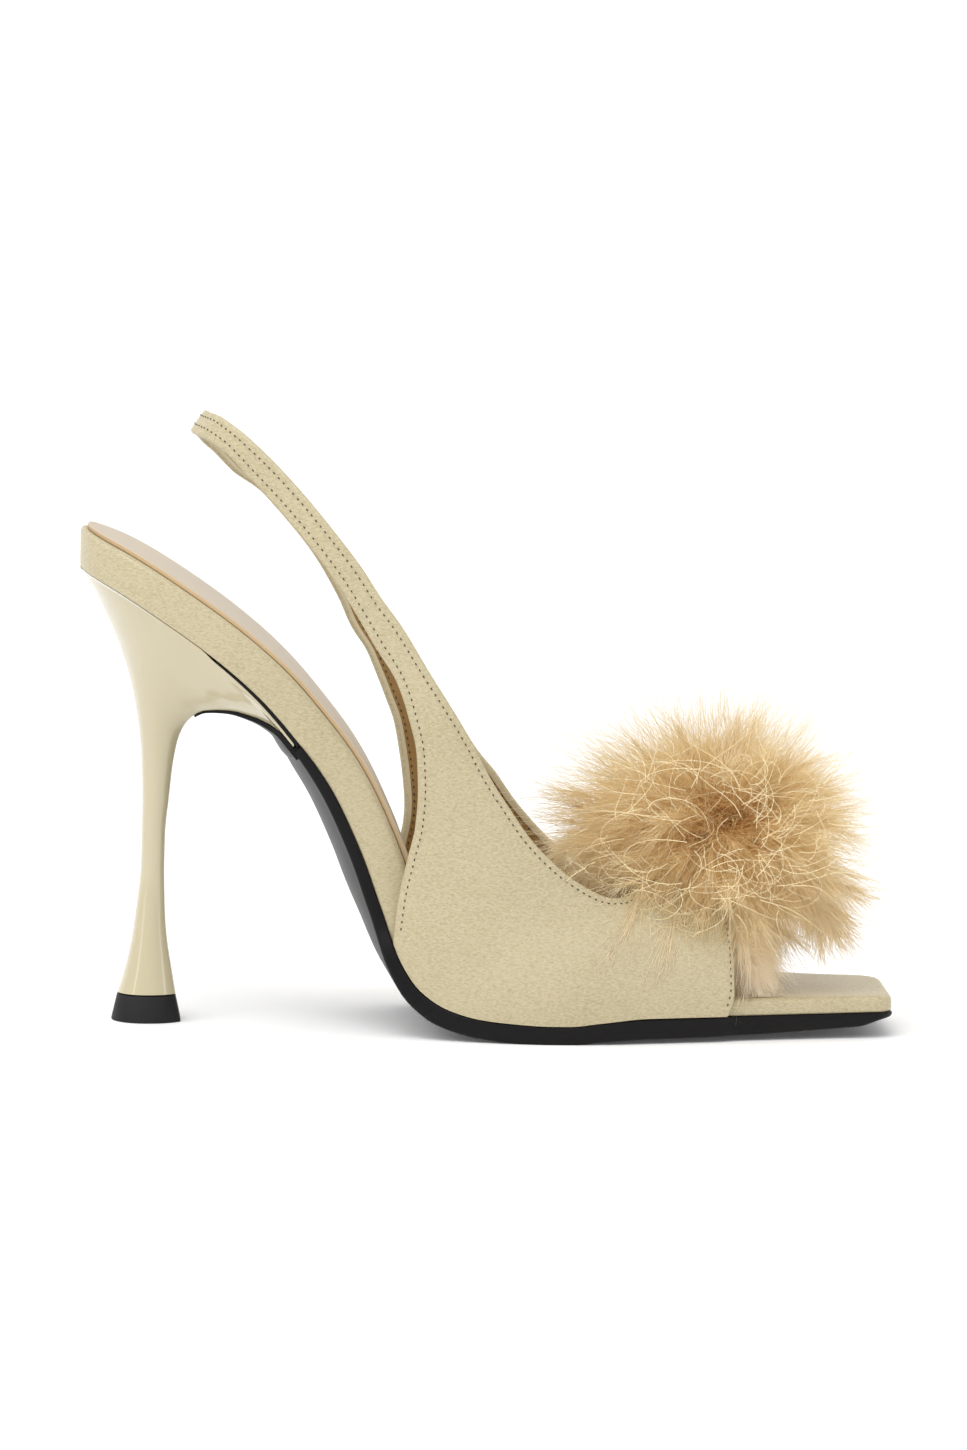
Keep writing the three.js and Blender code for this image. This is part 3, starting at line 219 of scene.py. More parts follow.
_side_half = {
    LATERAL: through([(at, share * width) for at, width, share, _ in OUTLINE]),
    MEDIAL: through([(at, share * width) for at, width, _, share in OUTLINE]),
}
SEAT_SQUARENESS = 2.25


def half(arc, side, inset=0.0):
    """Half width of the footbed, drawn in to a round seat and to the toe's corners, and moved inwards
    by inset."""
    from_back = np.clip((arc - inset) / (SEAT_WIDTH / 2), 0, 1)
    rounding = (1 - (1 - from_back) ** SEAT_SQUARENESS) ** (1 / SEAT_SQUARENESS)
    corner = np.maximum(0.5, TOE_CORNER[side] - inset)
    to_toe = np.clip(ARC - inset - arc, 0, corner)
    cut = corner - np.sqrt(np.maximum(corner**2 - (corner - to_toe) ** 2, 0))
    return (_side_half[side](arc / ARC) - inset) * rounding - cut


_rear_share = through(FOOTBED_TAPER)
_tread_share = through(OUTSOLE_TAPER)
_crown_share = through(CROWN_TAPER)


def footbed_thickness(arc):
    return mix(FOOTBED_FRONT, FOOTBED_REAR, _rear_share(arc / ARC))


def outsole_thickness(arc):
    return mix(OUTSOLE_WAIST, OUTSOLE_TREAD, _tread_share(arc / ARC))


def outsole_crown(arc):
    return WAIST_CROWN * _crown_share(arc / ARC)


UPRIGHT_SPAN = 0.12


def footbed_direction(arc):
    """The footbed's edge stands upright at the seat back and square to the seat line further on."""
    _, _, nx, nz = station(arc)
    t = ease(arc / (UPRIGHT_SPAN * ARC))
    dx, dz = nx * t, mix(1, nz, t)
    across = dx * nx + dz * nz
    return dx / across, dz / across


def normal_direction(arc):
    _, _, nx, nz = station(arc)
    return nx, nz


# Meshes


class Build:
    """Collects grids of points into one mesh object: vertices, quads, triangles, material numbers and
    one UV layer."""

    def __init__(self):
        self.verts, self.uvs, self.quads, self.tris = [], [], [], []
        self.quad_slots, self.tri_slots = [], []
        self.count = 0

    def grid(self, p, wrap_u=False, wrap_v=False, slot=0, uv=None, flip=False):
        """A grid of points p[u, v]; either way may close on itself."""
        n, m = p.shape[:2]
        ids = self.count + np.arange(n * m).reshape(n, m)
        iu, iv = np.arange(n if wrap_u else n - 1), np.arange(m if wrap_v else m - 1)
        a, b = np.meshgrid(iu, iv, indexing="ij")
        c, d = (a + 1) % n, (b + 1) % m
        quads = np.stack([ids[a, b], ids[c, b], ids[c, d], ids[a, d]], -1).reshape(-1, 4)
        if flip:
            quads = quads[:, ::-1]
        self.quads.append(quads)
        self.quad_slots.append(np.broadcast_to(slot, a.shape).ravel())
        self.verts.append(p.reshape(-1, 3))
        self.uvs.append(np.zeros((n * m, 2)) if uv is None else uv.reshape(-1, 2))
        self.count += n * m

    def faces(self, p, tris, slot=0, uv=None):
        self.tris.append(tris + self.count)
        self.tri_slots.append(np.full(len(tris), slot))
        self.verts.append(p)
        self.uvs.append(np.zeros((len(p), 2)) if uv is None else uv)
        self.count += len(p)

    def finish(self, name, materials, smooth_angle=None, weld=None):
        verts = np.concatenate(self.verts) * MM
        quads = np.concatenate(self.quads) if self.quads else np.zeros((0, 4), int)
        tris = np.concatenate(self.tris) if self.tris else np.zeros((0, 3), int)
        mesh = bpy.data.meshes.new(name)
        mesh.vertices.add(len(verts))
        mesh.vertices.foreach_set("co", verts.ravel())
        loops = np.concatenate([quads.ravel(), tris.ravel()])
        totals = np.concatenate([np.full(len(quads), 4), np.full(len(tris), 3)])
        starts = np.concatenate([[0], np.cumsum(totals)[:-1]])
        mesh.loops.add(len(loops))
        mesh.loops.foreach_set("vertex_index", loops.astype(np.int32))
        mesh.polygons.add(len(totals))
        mesh.polygons.foreach_set("loop_start", starts.astype(np.int32))
        slots = np.concatenate([*self.quad_slots, *self.tri_slots])
        mesh.polygons.foreach_set("material_index", slots.astype(np.int32))
        mesh.polygons.foreach_set("use_smooth", np.ones(len(totals), bool))
        layer = mesh.uv_layers.new(name="UVMap")
        layer.data.foreach_set("uv", np.concatenate(self.uvs)[loops].ravel())
        mesh.update(calc_edges=True)
        if weld:
            weld_mesh(mesh, weld)
        mesh.validate()
        if smooth_angle:
            mesh.set_sharp_from_angle(angle=math.radians(smooth_angle))
        piece = bpy.data.objects.new(name, mesh)
        bpy.context.scene.collection.objects.link(piece)
        for material in materials:
            mesh.materials.append(material)
        return piece


def weld_mesh(mesh, distance):
    """Merges the doubled points of seams and poles and turns all faces outwards."""
    work = bmesh.new()
    work.from_mesh(mesh)
    bmesh.ops.remove_doubles(work, verts=work.verts, dist=distance * MM)
    bmesh.ops.dissolve_degenerate(work, edges=work.edges, dist=1e-7)
    bmesh.ops.recalc_face_normals(work, faces=work.faces)
    work.to_mesh(mesh)
    work.free()


def settle(piece, slot, *nodes):
    """Puts a finished piece on the shoe's one body, in place of CAD nodes. The slot is not used."""
    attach(piece, BODY)
    if nodes:
        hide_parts(*nodes)


# Plates that follow the seat line


def outline_loop(start, stop, inset, margin=0.0, spread=None, sides=150, front=40):
    """The plate's outline moved in by inset, as arc lengths and signed widths: up the lateral side from
    the back, across the front and down the medial side. Points crowd at a round back and at corners."""
    t = np.linspace(0, 1, sides)
    crowd = 0.5 - 0.5 * np.cos(np.pi * t)
    arc = mix(start + inset, stop - inset, mix(t, crowd, 0.85))
    taken = margin + inset - (0 if spread is None else spread(arc))
    lateral, medial = half(arc, LATERAL, taken), half(arc, MEDIAL, taken)
    across = np.linspace(0, 1, front)[1:-1]
    loop = np.concatenate([arc, np.full(front - 2, arc[-1]), arc[::-1]])
    wide = np.concatenate([-lateral, mix(-lateral[-1], medial[-1], across), medial[::-1]])
    return loop, wide


UNDERSIDE_KEEPS = (0.0, 0.3, 0.55, 0.75, 0.9)


def plate(start, stop, levels, direction, margin=0.0, spread=None):
    """A closed plate as rings around it. A level is the ring's inset, its distance from the seat line
    as a function of arc, and the share of its width kept, which is nought on the middle line."""
    rings = []
    for inset, offset, keep in levels:
        arc, wide = outline_loop(start, stop, inset, margin, spread)
        x, z, _, _ = station(arc)
        dx, dz = direction(arc)
        rings.append(points(x + dx * offset(arc), wide * keep, z + dz * offset(arc)))
    return np.stack(rings)


def rounded(low, high, low_round, high_round, crown=None, steps=6):
    """Levels of a plate's edge: a quarter round, the wall, and a quarter round, between flat faces. A
    crown bulges the underside by crown(arc)(1 - k^2) at the share k of the width."""
    turn = np.linspace(0, np.pi / 2, steps)
    bulge = crown or (lambda s: 0 * s)
    levels = [
        (low_round, (lambda s, k=keep: low(s) - bulge(s) * (1 - k * k)), keep) for keep in UNDERSIDE_KEEPS
    ]
    for a in turn:
        rise = low_round * (1 - math.cos(a))
        levels.append((low_round * (1 - math.sin(a)), (lambda s, r=rise: low(s) + r), 1.0))
    for a in turn:
        fall = high_round * (1 - math.sin(a))
        levels.append((high_round * (1 - math.cos(a)), (lambda s, r=fall: high(s) - r), 1.0))
    levels += [(high_round, high, keep) for keep in (0.9, 0.66, 0.33, 0.0)]
    return levels


# The heel

# Sections of the flare above the tip: back and front points along, how far up each lies between the tip
# and the neck, and half the width, as shares of TIP_TOP_LENGTH and NECK_HEIGHT
HEEL_FLARE = [
    (-0.5, 0.507, 0, 0, 0.5), (-0.39, 0.43, 0.15, 0.18, 0.42),
    (-0.29, 0.355, 0.33, 0.36, 0.345), (-0.213, 0.312, 0.54, 0.54, 0.29),
]
# Sections from the neck up: back point's share of the way back and up, front point's share of the way
# to the lip and of ARCH_HEIGHT, width, flat share and bow
HEEL_CROWN = [
    (0, 0.16, 0.024, 0.703, 0.027, 0.52, 0), (0.02, 0.3, 0.052, 0.817, 0.075, 0.56, 0.02),
    (0.06, 0.405, 0.092, 0.9, 0.14, 0.62, 0.06), (0.135, 0.51, 0.168, 0.96, 0.25, 0.69, 0.14),
    (0.24, 0.61, 0.3, 0.993, 0.39, 0.76, 0.27), (0.39, 0.71, 0.475, 0.999, 0.55, 0.82, 0.44),
    (0.56, 0.8, 0.665, 0.986, 0.73, 0.87, 0.64), (0.785, 0.905, 0.855, 0.95, 0.89, 0.91, 0.84),
]


def wedge_at(share):
    """Thickness of the strip between footbed and lip: it grows from its start to the lip's end."""
    along = np.clip((share - WEDGE_START) / (LIP_ARC - WEDGE_START), 0, 1)
    return WEDGE_THICKNESS * mix(WEDGE_TAPER, 1, along)


def heel_top(shares):
    """The heel's upper edge, one gap under the footbed, and under the outsole's wedge near the lip."""
    arc = shares * LIP_ARC * ARC
    x, z, nx, nz = station(arc)
    share = arc / ARC
    drop = SEAM + (FIT_GAP + wedge_at(share)) * ease((share - WEDGE_START + WEDGE_RUN) / WEDGE_RUN)
    lateral = np.maximum(half(arc, LATERAL, CUP_INSET), 1)
    medial = np.maximum(half(arc, MEDIAL, CUP_INSET), 1)
    return x - nx * drop, z - nz * drop, lateral, medial


def heel_rows():
    """Sections of the heel from the tip up: back point, front point, half width, flat share, bow."""
    tip_top = TIP_HEIGHT + FIT_GAP
    back, front = NECK_MIDDLE - NECK_LENGTH / 2, NECK_MIDDLE + NECK_LENGTH / 2
    lip_x = float(station(np.array(LIP_ARC * ARC))[0])
    rows = []
    for b, f, bz, fz, wide in HEEL_FLARE:
        z1, z2 = mix(tip_top, NECK_HEIGHT, bz), mix(tip_top, NECK_HEIGHT, fz)
        rows.append((b * TIP_TOP_LENGTH, z1, f * TIP_TOP_LENGTH, z2, wide * TIP_TOP_LENGTH, 0.5, 0))
    rows.append((back - 0.1, 0.9 * NECK_HEIGHT, front - 0.1, 0.9 * NECK_HEIGHT, 0.51 * NECK_WIDTH, 0.5, 0))
    rows.append((back, 1.09 * NECK_HEIGHT, front, 1.09 * NECK_HEIGHT, 0.52 * NECK_WIDTH, 0.5, 0))
    for b, up, f, arch, wide, flat, bow in HEEL_CROWN:
        rows.append((
            mix(back, SEAT_BACK + 0.2, b), mix(NECK_HEIGHT, SEAT_TOP, up), mix(front, lip_x, f),
            arch * ARCH_HEIGHT, mix(0.52 * NECK_WIDTH, SEAT_WIDTH / 2, wide), flat, bow,
        ))
    x, z, _, _ = heel_top(np.array([0.004, 1.0]))
    flat = float(half(np.array(LIP_ARC * ARC), LATERAL, CUP_INSET)) / (SEAT_WIDTH / 2)
    half_seat = SEAT_WIDTH / 2 - CUP_INSET
    rows.append((x[0] + 0.05, z[0] - 0.6, x[1] - 0.1, z[1] - LIP_EDGE, half_seat, flat, 1))
    return rows


_heel_table = [(i, *row) for i, row in enumerate(heel_rows())]
_heel_curves = [through(_heel_table, k) for k in range(1, 8)]


def heel_section(t):
    """The seven measures of a section at a share t of the way up."""
    return [curve(np.asarray(t) * (len(_heel_table) - 1)) for curve in _heel_curves]


ROUND_PART = 0.48
HEEL_SQUARENESS = 2.1


def d_shape(s, flat):
    """Half width along a section: a superellipse at the back, then easing in to a flat front."""
    rear = (1 - np.clip(1 - s / ROUND_PART, 0, 1) ** HEEL_SQUARENESS) ** (1 / HEEL_SQUARENESS)
    t = np.clip((s - ROUND_PART) / (1 - ROUND_PART), 0, 1)
    return np.where(s < ROUND_PART, rear, np.sqrt(1 - t * t * (1 - flat * flat)))


def heel_side(t, shares, side):
    """A grid of the heel's side: sections at t, points at shares from back to front."""
    bx, bz, fx, fz, wide, flat, bow = (v[:, None] for v in heel_section(t))
    tx, tz, _, _ = heel_top(shares)
    span = np.array([tx[-1] - tx[0], tz[-1] - tz[0]])
    length2 = span @ span
    along = ((tx - tx[0]) * span[0] + (tz - tz[0]) * span[1]) / length2
    bulge = (-(tx - tx[0]) * span[1] + (tz - tz[0]) * span[0]) / length2
    cx, cz = fx - bx, fz - bz
    u = mix(shares[None, :], along[None, :], bow)
    b = bulge[None, :] * bow
    y = side * wide * d_shape(shares[None, :], flat)
    return points(bx + cx * u - cz * b, y, bz + cz * u + cx * b)


BREAST_ROUND = 0.5


def heel_grid(rows=150, columns=64, steps=14):
    """The whole heel as closed rings: back to front on the lateral side, across the flat breast, and
    back on the medial side. The sides turn in to the breast by a quarter round, and the last rings
    close the top and the foot on the middle line."""
    shares = mix(0.0005, 1, 0.5 - 0.5 * np.cos(np.pi * np.linspace(0, 1, columns)))
    t = np.linspace(0, 1, rows)
    sides = []
    for side in (LATERAL, MEDIAL):
        grid = heel_side(t, shares, side)
        x, z, *wide = heel_top(shares)
        top = points(x, side * wide[0 if side == LATERAL else 1], z)
        sides.append(np.concatenate([grid, top[None]]))
    lateral, medial = (turn_in(side) for side in sides)
    across = np.linspace(0, 1, steps)[1:-1, None]
    front = mix(lateral[:, -1:], medial[:, -1:], across[None])
    grid = np.concatenate([lateral, front, medial[:, ::-1]], axis=1)
    return close_ends(grid)


def turn_in(grid):
    """Draws the front end of each ring in by a quarter round of radius BREAST_ROUND."""
    length = np.linalg.norm(grid - grid[:, -1:], axis=-1)
    t = np.clip(1 - length / BREAST_ROUND, 0, 1)
    inward = BREAST_ROUND * (1 - np.sqrt(1 - t * t))
    grid = grid.copy()
    grid[..., 1] -= np.sign(grid[..., 1]) * np.minimum(inward, np.abs(grid[..., 1]) * 0.9)
    return grid


def close_ends(grid, keeps=(0.97, 0.8, 0.5, 0.2, 0.0)):
    """Adds rings that shrink on to the middle line at both ends of a stack of rings."""
    scale = np.array([1, 0, 1]) + np.outer(keeps, [0, 1, 0])
    low, high = grid[:1] * scale[::-1, None], grid[-1:] * scale[:, None]
    return np.concatenate([low, grid, high])


def tip_rings():
    """The wear block: the heel's D section from the floor up to its neck, with rounded rims."""
    shares = mix(0.0005, 1, 0.5 - 0.5 * np.cos(np.pi * np.linspace(0, 1, 64)))
    rim = 0.35
    turn = np.linspace(0, np.pi / 2, 5)
    heights = np.concatenate([rim * (1 - np.cos(turn)), TIP_HEIGHT - rim * (1 - np.sin(turn))])
    drawn = np.concatenate([rim * (1 - np.sin(turn)), rim * (1 - np.cos(turn))])
    length = mix(TIP_LENGTH, TIP_TOP_LENGTH, heights / TIP_HEIGHT) - 2 * drawn
    x = (shares - 0.5) * length[:, None]
    y = 0.5 * length[:, None] * d_shape(shares, 0.5)
    z = np.broadcast_to(heights[:, None], x.shape)
    lateral, medial = turn_in(points(x, -y, z)), turn_in(points(x, y, z))
    across = np.linspace(0, 1, 14)[1:-1, None]
    front = mix(lateral[:, -1:], medial[:, -1:], across[None])
    return close_ends(np.concatenate([lateral, front, medial[:, ::-1]], axis=1))


# The sole

OUTSOLE_JOINT = 1.2
SOLE_ROUND = 0.9
NOSE_START, NOSE_END, NOSE_CROWN = 0.7, 3.3, 0.75
FLAP_START = 14 / 21
FLAP_TAPER = 0.28
FLAP_RUN_ON = 1.6
FLAP_MARGIN = 0.2
# Where the sole widens under the upper: how far outside its foot, and over what length
QUARTER_SPREAD, VAMP_SPREAD, SPREAD_SHY = (6, 8), (3, 6), 0.1


def outsole_spread(arc):
    """How far the sole stands out past the footbed: a rim, and further where the upper stands on it."""
    start = arc_at_x(SEAT_BACK + QUARTER_FOOT * SHOE_LENGTH)
    stop = arc_at_x(SEAT_BACK + VAMP_FOOT * SHOE_LENGTH)
    rear = ease((arc - start + QUARTER_SPREAD[0]) / QUARTER_SPREAD[1])
    front = ease((stop - arc + VAMP_SPREAD[0]) / VAMP_SPREAD[1])
    return mix(SOLE_RIM, UPPER_WALL + FIT_GAP - SPREAD_SHY, rear * front)


def flap_rings(sides=16, steps=60):
    """The flap that covers the heel's breast: a thin band one seam outside the heel's front line, which
    bulges by crown(1 - u^2) as it comes to the lip and runs on a little way into the waist."""
    t = np.linspace(FLAP_START, 1, steps)
    _, _, fx, fz, wide, flat, _ = heel_section(t)
    run = np.stack([np.gradient(fx), np.gradient(fz)], -1)
    run /= np.linalg.norm(run, axis=-1, keepdims=True)
    share = (t - t[0]) / (1 - t[0])
    thick = FLAP_THICKNESS * mix(FLAP_TAPER, 1, ease(share))
    crown = NOSE_CROWN * outsole_crown(LIP_ARC * ARC) * share**2
    fx = np.append(fx, fx[-1] + run[-1, 0] * FLAP_RUN_ON)
    fz = np.append(fz, fz[-1] + run[-1, 1] * FLAP_RUN_ON)
    run, thick, crown = (np.concatenate([v, v[-1:]]) for v in (run, thick, crown))
    half_width = np.append(wide * flat, wide[-1] * flat[-1]) + FLAP_MARGIN
    out = np.stack([run[:, 1], -run[:, 0]], -1)
    u = np.linspace(-1, 1, sides)
    rounding = 0.25 * (1 - np.sqrt(np.clip(1 - np.clip(np.abs(u) * 4 - 3, 0, 1) ** 2, 0, 1)))
    low = np.full((steps + 1, sides), SEAM)
    high = thick[:, None] * (1 - rounding) + crown[:, None] * (1 - u**2) + SEAM
    offset = np.concatenate([low, high[:, ::-1]], axis=1)
    y = half_width[:, None] * np.concatenate([u, u[::-1]])
    ring = points(fx[:, None] + out[:, :1] * offset, y, fz[:, None] + out[:, 1:] * offset)
    middle = points(ring[..., 0], ring[..., 1] * 0, ring[..., 2])
    return np.concatenate([middle[:1], ring, middle[-1:]])


# The upper

BEND_RIB, QUARTER_RIB, VAMP_RIB, MIDDLE_RIB = 4, 16, 23, 29
FOOT_LIFT = 0.15
FOLD = 0.42
UV_REACH = 10
RIB_STEPS, SHARE_STEPS, FOLD_STEPS = 8, 36, 5

# Rib, share of the way from strap to throat, share of half the QUARTER_WIDTH, share of the rise, and
# how much lower the medial side lies, as a share of STRAP_WIDTH
TOPLINE = [
    (0, 0, 0, 1, 0), (1, 0.022, 0.254, 0.997, 0.25), (2, 0.0645, 0.451, 0.972, 0.385),
    (3, 0.132, 0.606, 0.9145, 0.405), (4, 0.2065, 0.732, 0.8395, 0.385), (5, 0.277, 0.834, 0.7575, 0.405),
    (6, 0.3405, 0.915, 0.676, 0.46), (7, 0.384, 0.958, 0.61, 0.46), (8, 0.429, 0.986, 0.55, 0.42),
    (9, 0.4945, 1, 0.445, 0.365), (10, 0.541, 1, 0.374, 0.33), (11, 0.587, 0.992, 0.299, 0.23),
    (12, 0.633, 0.98, 0.213, 0.08), (13, 0.679, 0.966, 0.142, -0.12), (14, 0.724, 0.949, 0.078, -0.13),
    (15, 0.77, 0.93, 0.029, -0.08), (16, 0.81, 0.91, -0.006, -0.02), (17, 0.839, 0.89, -0.026, 0),
    (18, 0.867, 0.868, -0.043, 0), (19, 0.894, 0.839, -0.055, 0), (20, 0.917, 0.806, -0.06, 0),
    (21, 0.938, 0.761, -0.06, 0), (22, 0.954, 0.704, -0.056, 0), (23, 0.967, 0.637, -0.049, 0),
    (24, 0.977, 0.558, -0.039, 0), (25, 0.985, 0.468, -0.028, 0), (26, 0.992, 0.363, -0.017, 0),
    (27, 0.996, 0.248, -0.007, 0), (28, 0.999, 0.124, -0.002, 0), (29, 1, 0, 0, 0),
]
# Rib, along, out, hug, rise, slack, as shares of the quarter's own sizes
REAR_EDGE = [
    (0, 0, 0, 0, 1, 0), (1, 0.041, 0.239, 0, 0.997, 0.25), (2, 0.134, 0.417, 0, 0.977, 0.63),
    (3, 0.264, 0.549, 0, 0.927, 0.77), (4, 0.411, 0.685, 0, 0.866, 0.46), (5, 0.563, 0.797, 0, 0.795, 0.46),
    (6, 0.7, 0.873, 0, 0.723, 0.54), (7, 0.8, 0.916, 0, 0.659, 0.62), (8, 0.881, 0.947, 0, 0.604, 0.77),
    (9, 0.996, 0.958, 0, 0.528, 0.88), (10, 1.055, 0.957, 0.02, 0.457, 0.73),
    (11, 1.095, 0.955, 0.06, 0.385, 0.52), (12, 1.105, 0.952, 0.18, 0.304, 0.29),
    (13, 1.097, 0.95, 0.42, 0.242, 0.06), (14, 1.063, 0.95, 0.7, 0.173, -0.17),
    (15, 1.022, 0.95, 0.92, 0.087, -0.14), (16, 1, 0.95, 1, 0, 0),
]
# Rib, lead, out, rise of the vamp's mouth, as shares of its height and foot
MOUTH = [
    (23, 0, 1, 0), (24, 0.05, 1.007, 0.216), (25, 0.047, 0.94, 0.45), (26, 0.025, 0.784, 0.72),
    (27, -0.014, 0.488, 0.906), (28, -0.054, 0.216, 0.986), (29, -0.065, 0, 1),
]
# Rib, how far its middle bows out, as a share of its length
FULLNESS = [
    (0, 0.01), (7, 0.015), (8, 0.02), (9, 0.04), (10, 0.07), (11, 0.1), (13, 0.118), (14, 0.124),
    (16, 0.116), (18, 0.1), (20, 0.108), (22, 0.118), (23, 0.118), (24, 0.09), (25, 0.065),
    (27, 0.035), (29, 0.03),
]


def mirrored(rows, out, ends):
    """A table with two rows' mirror images past the back seam or the middle, where out changes sign."""

    def image(row, about):
        row = list(row)
        row[0] = 2 * about - row[0]
        row[out] = -row[out]
        return tuple(row)

    before = [image(r, 0) for r in rows[1:3]][::-1] if 0 in ends else []
    after = [image(r, MIDDLE_RIB) for r in rows[-3:-1]][::-1] if MIDDLE_RIB in ends else []
    return [*before, *rows, *after]


_top_curves = [through(mirrored(TOPLINE, 2, (0, MIDDLE_RIB)), k) for k in (1, 2, 3, 4)]
_rear_curves = [through(mirrored(REAR_EDGE, 2, (0,)), k) for k in (1, 2, 3, 4, 5)]
_mouth_curves = [through(mirrored(MOUTH, 2, (MIDDLE_RIB,)), k) for k in (1, 2, 3)]
_fullness = through(FULLNESS)

STRAP_TOP_X = SEAT_BACK + STRAP_BACK
THROAT_X = SEAT_BACK + THROAT_REACH
STRAP_LOW_X = STRAP_TOP_X - STRAP_WIDTH * math.sin(STRAP_LEAN)
STRAP_LOW_Z = STRAP_TOP - STRAP_WIDTH * math.cos(STRAP_LEAN)
QUARTER_ARC = float(arc_at_x(SEAT_BACK + QUARTER_FOOT * SHOE_LENGTH))
VAMP_ARC = float(arc_at_x(SEAT_BACK + VAMP_FOOT * SHOE_LENGTH))


def reflected(at):
    """A rib number folded back into the table's range, and the sign of the side it comes from."""
    turned = np.where(at < 0, -at, np.where(at > MIDDLE_RIB, 2 * MIDDLE_RIB - at, at))
    return turned, np.where((at < 0) | (at > MIDDLE_RIB), -1, 1)


def foot_point(arc, side):
    """Where the upper's outer face meets the sole."""
    x, z, _, _ = station(arc)
    return points(x, side * (half(arc, side) + UPPER_WALL + FIT_GAP), z + FOOT_LIFT)


def topline_point(at, side):
    at, sign = reflected(at)
    along, out, rise, drop = (curve(at) for curve in _top_curves)
    y = sign * side * out * QUARTER_WIDTH / 2
    down = drop * STRAP_WIDTH if side == MEDIAL else 0 * drop
    x = mix(STRAP_TOP_X, THROAT_X, along) - down * math.sin(STRAP_LEAN)
    return points(x, y, mix(THROAT_HEIGHT, STRAP_TOP, rise) - down * math.cos(STRAP_LEAN))


def edge_point(at, side):
    """The upper's lower edge: the quarter's rear edge, its foot along the sole, and the mouth."""
    at, sign = reflected(at)
    along, out, hug, rise, slack = (curve(at) for curve in _rear_curves)
    foot = foot_point(np.array(QUARTER_ARC), side)
    y = mix(side * out * QUARTER_WIDTH / 2, foot[1], hug)
    rear = points(mix(STRAP_LOW_X, foot[0], along), y, mix(foot[2], STRAP_LOW_Z, rise))
    if side == MEDIAL:
        away = unit(rear - topline_point(at, side))
        rear = rear + away * (slack * STRAP_WIDTH)[..., None]
    on_sole = (at - QUARTER_RIB) / (VAMP_RIB - QUARTER_RIB)
    sole = foot_point(mix(QUARTER_ARC, VAMP_ARC, np.clip(on_sole, 0, 1)), side)
    lead, wide, up = (curve(at) for curve in _mouth_curves)
    last = foot_point(np.array(VAMP_ARC), side)
    tall = MOUTH_HEIGHT - last[2]
    mouth = points(last[0] + lead * tall, last[1] * wide, last[2] + up * tall)
    where = at[..., None]
    found = np.where(where <= QUARTER_RIB, rear, np.where(where <= VAMP_RIB, sole, mouth))
    found[..., 1] *= sign
    return found


# Soft folds, listed one by one: side, rib, share down the rib, reach in ribs, reach in share, slant, depth
FOLDS = [
    (LATERAL, 17.4, 0.86, 0.5, 0.3, 0.9, -0.22), (LATERAL, 18.6, 0.9, 0.45, 0.24, 0.6, 0.16),
    (LATERAL, 20.3, 0.92, 0.4, 0.2, -0.5, -0.16), (LATERAL, 21.8, 0.88, 0.4, 0.22, -0.8, 0.14),
    (LATERAL, 13.2, 0.52, 0.9, 0.4, 0.4, -0.2), (LATERAL, 10.6, 0.5, 0.7, 0.5, 0, 0.14),
    (LATERAL, 24.6, 0.5, 0.5, 0.5, 0, -0.18), (MEDIAL, 17.8, 0.86, 0.5, 0.28, 0.8, -0.2),
    (MEDIAL, 19.8, 0.9, 0.45, 0.22, -0.5, 0.16), (MEDIAL, 13.6, 0.5, 0.9, 0.4, 0.4, -0.2),
    (MEDIAL, 22.2, 0.86, 0.4, 0.22, -0.6, -0.14),
]
NEIGHBOUR = 0.6


def fold_depth(at, side, v):
    depth = np.zeros(np.broadcast(at, v).shape)
    for fold_side, rib, share, reach, drop, slant, deep in FOLDS:
        if fold_side == side:
            along = (at - rib - slant * (v - share)) / reach
            depth += deep * np.exp(-(along**2) - ((v - share) / drop) ** 2)
    return depth


def upper_face(at, side, v):
    """The upper's outer face: each rib is the straight line from topline to lower edge, bowed out by
    4v(1-v) of its fullness, square to itself and to the line through its neighbours' middles."""
    at, v = np.broadcast_arrays(np.asarray(at, float), np.asarray(v, float))
    top, edge = topline_point(at, side), edge_point(at, side)

    def middle(a):
        return (topline_point(a, side) + edge_point(a, side)) / 2

    run = middle(at + NEIGHBOUR) - middle(at - NEIGHBOUR)
    chord = edge - top
    out = unit(np.cross(chord, run))
    turned, sign = reflected(at)
    guide = points(np.where(turned < BEND_RIB, -1, 0), sign * side, np.where(turned > VAMP_RIB, 1, 0))
    out = np.where((out * guide).sum(-1, keepdims=True) < 0, -out, out)
    length = np.linalg.norm(chord, axis=-1)
    bow = 4 * v * (1 - v) * _fullness(turned) * length + fold_depth(turned, side, v)
    return top + chord * v[..., None] + out * bow[..., None]


def upper_normal(at, side, v):
    """The outer face's normal, from its slopes either way."""
    step, drop = 0.06, 0.02
    along = upper_face(at + step, side, v) - upper_face(at - step, side, v)
    down = upper_face(at, side, np.minimum(v + drop, 1)) - upper_face(at, side, np.maximum(v - drop, 0))
    normal = side * unit(np.cross(along, down))
    on_sole = ease((at - QUARTER_RIB + 0.05) / 0.1) * ease((VAMP_RIB + 0.05 - at) / 0.1)
    arc = mix(QUARTER_ARC, VAMP_ARC, (at - QUARTER_RIB) / (VAMP_RIB - QUARTER_RIB))
    _, _, nx, nz = station(np.clip(arc, QUARTER_ARC, VAMP_ARC))
    up = points(nx, 0 * nx, nz)
    share = (on_sole * ease((v - 0.85) / 0.15))[..., None]
    return unit(normal - share * up * (normal * up).sum(-1, keepdims=True))


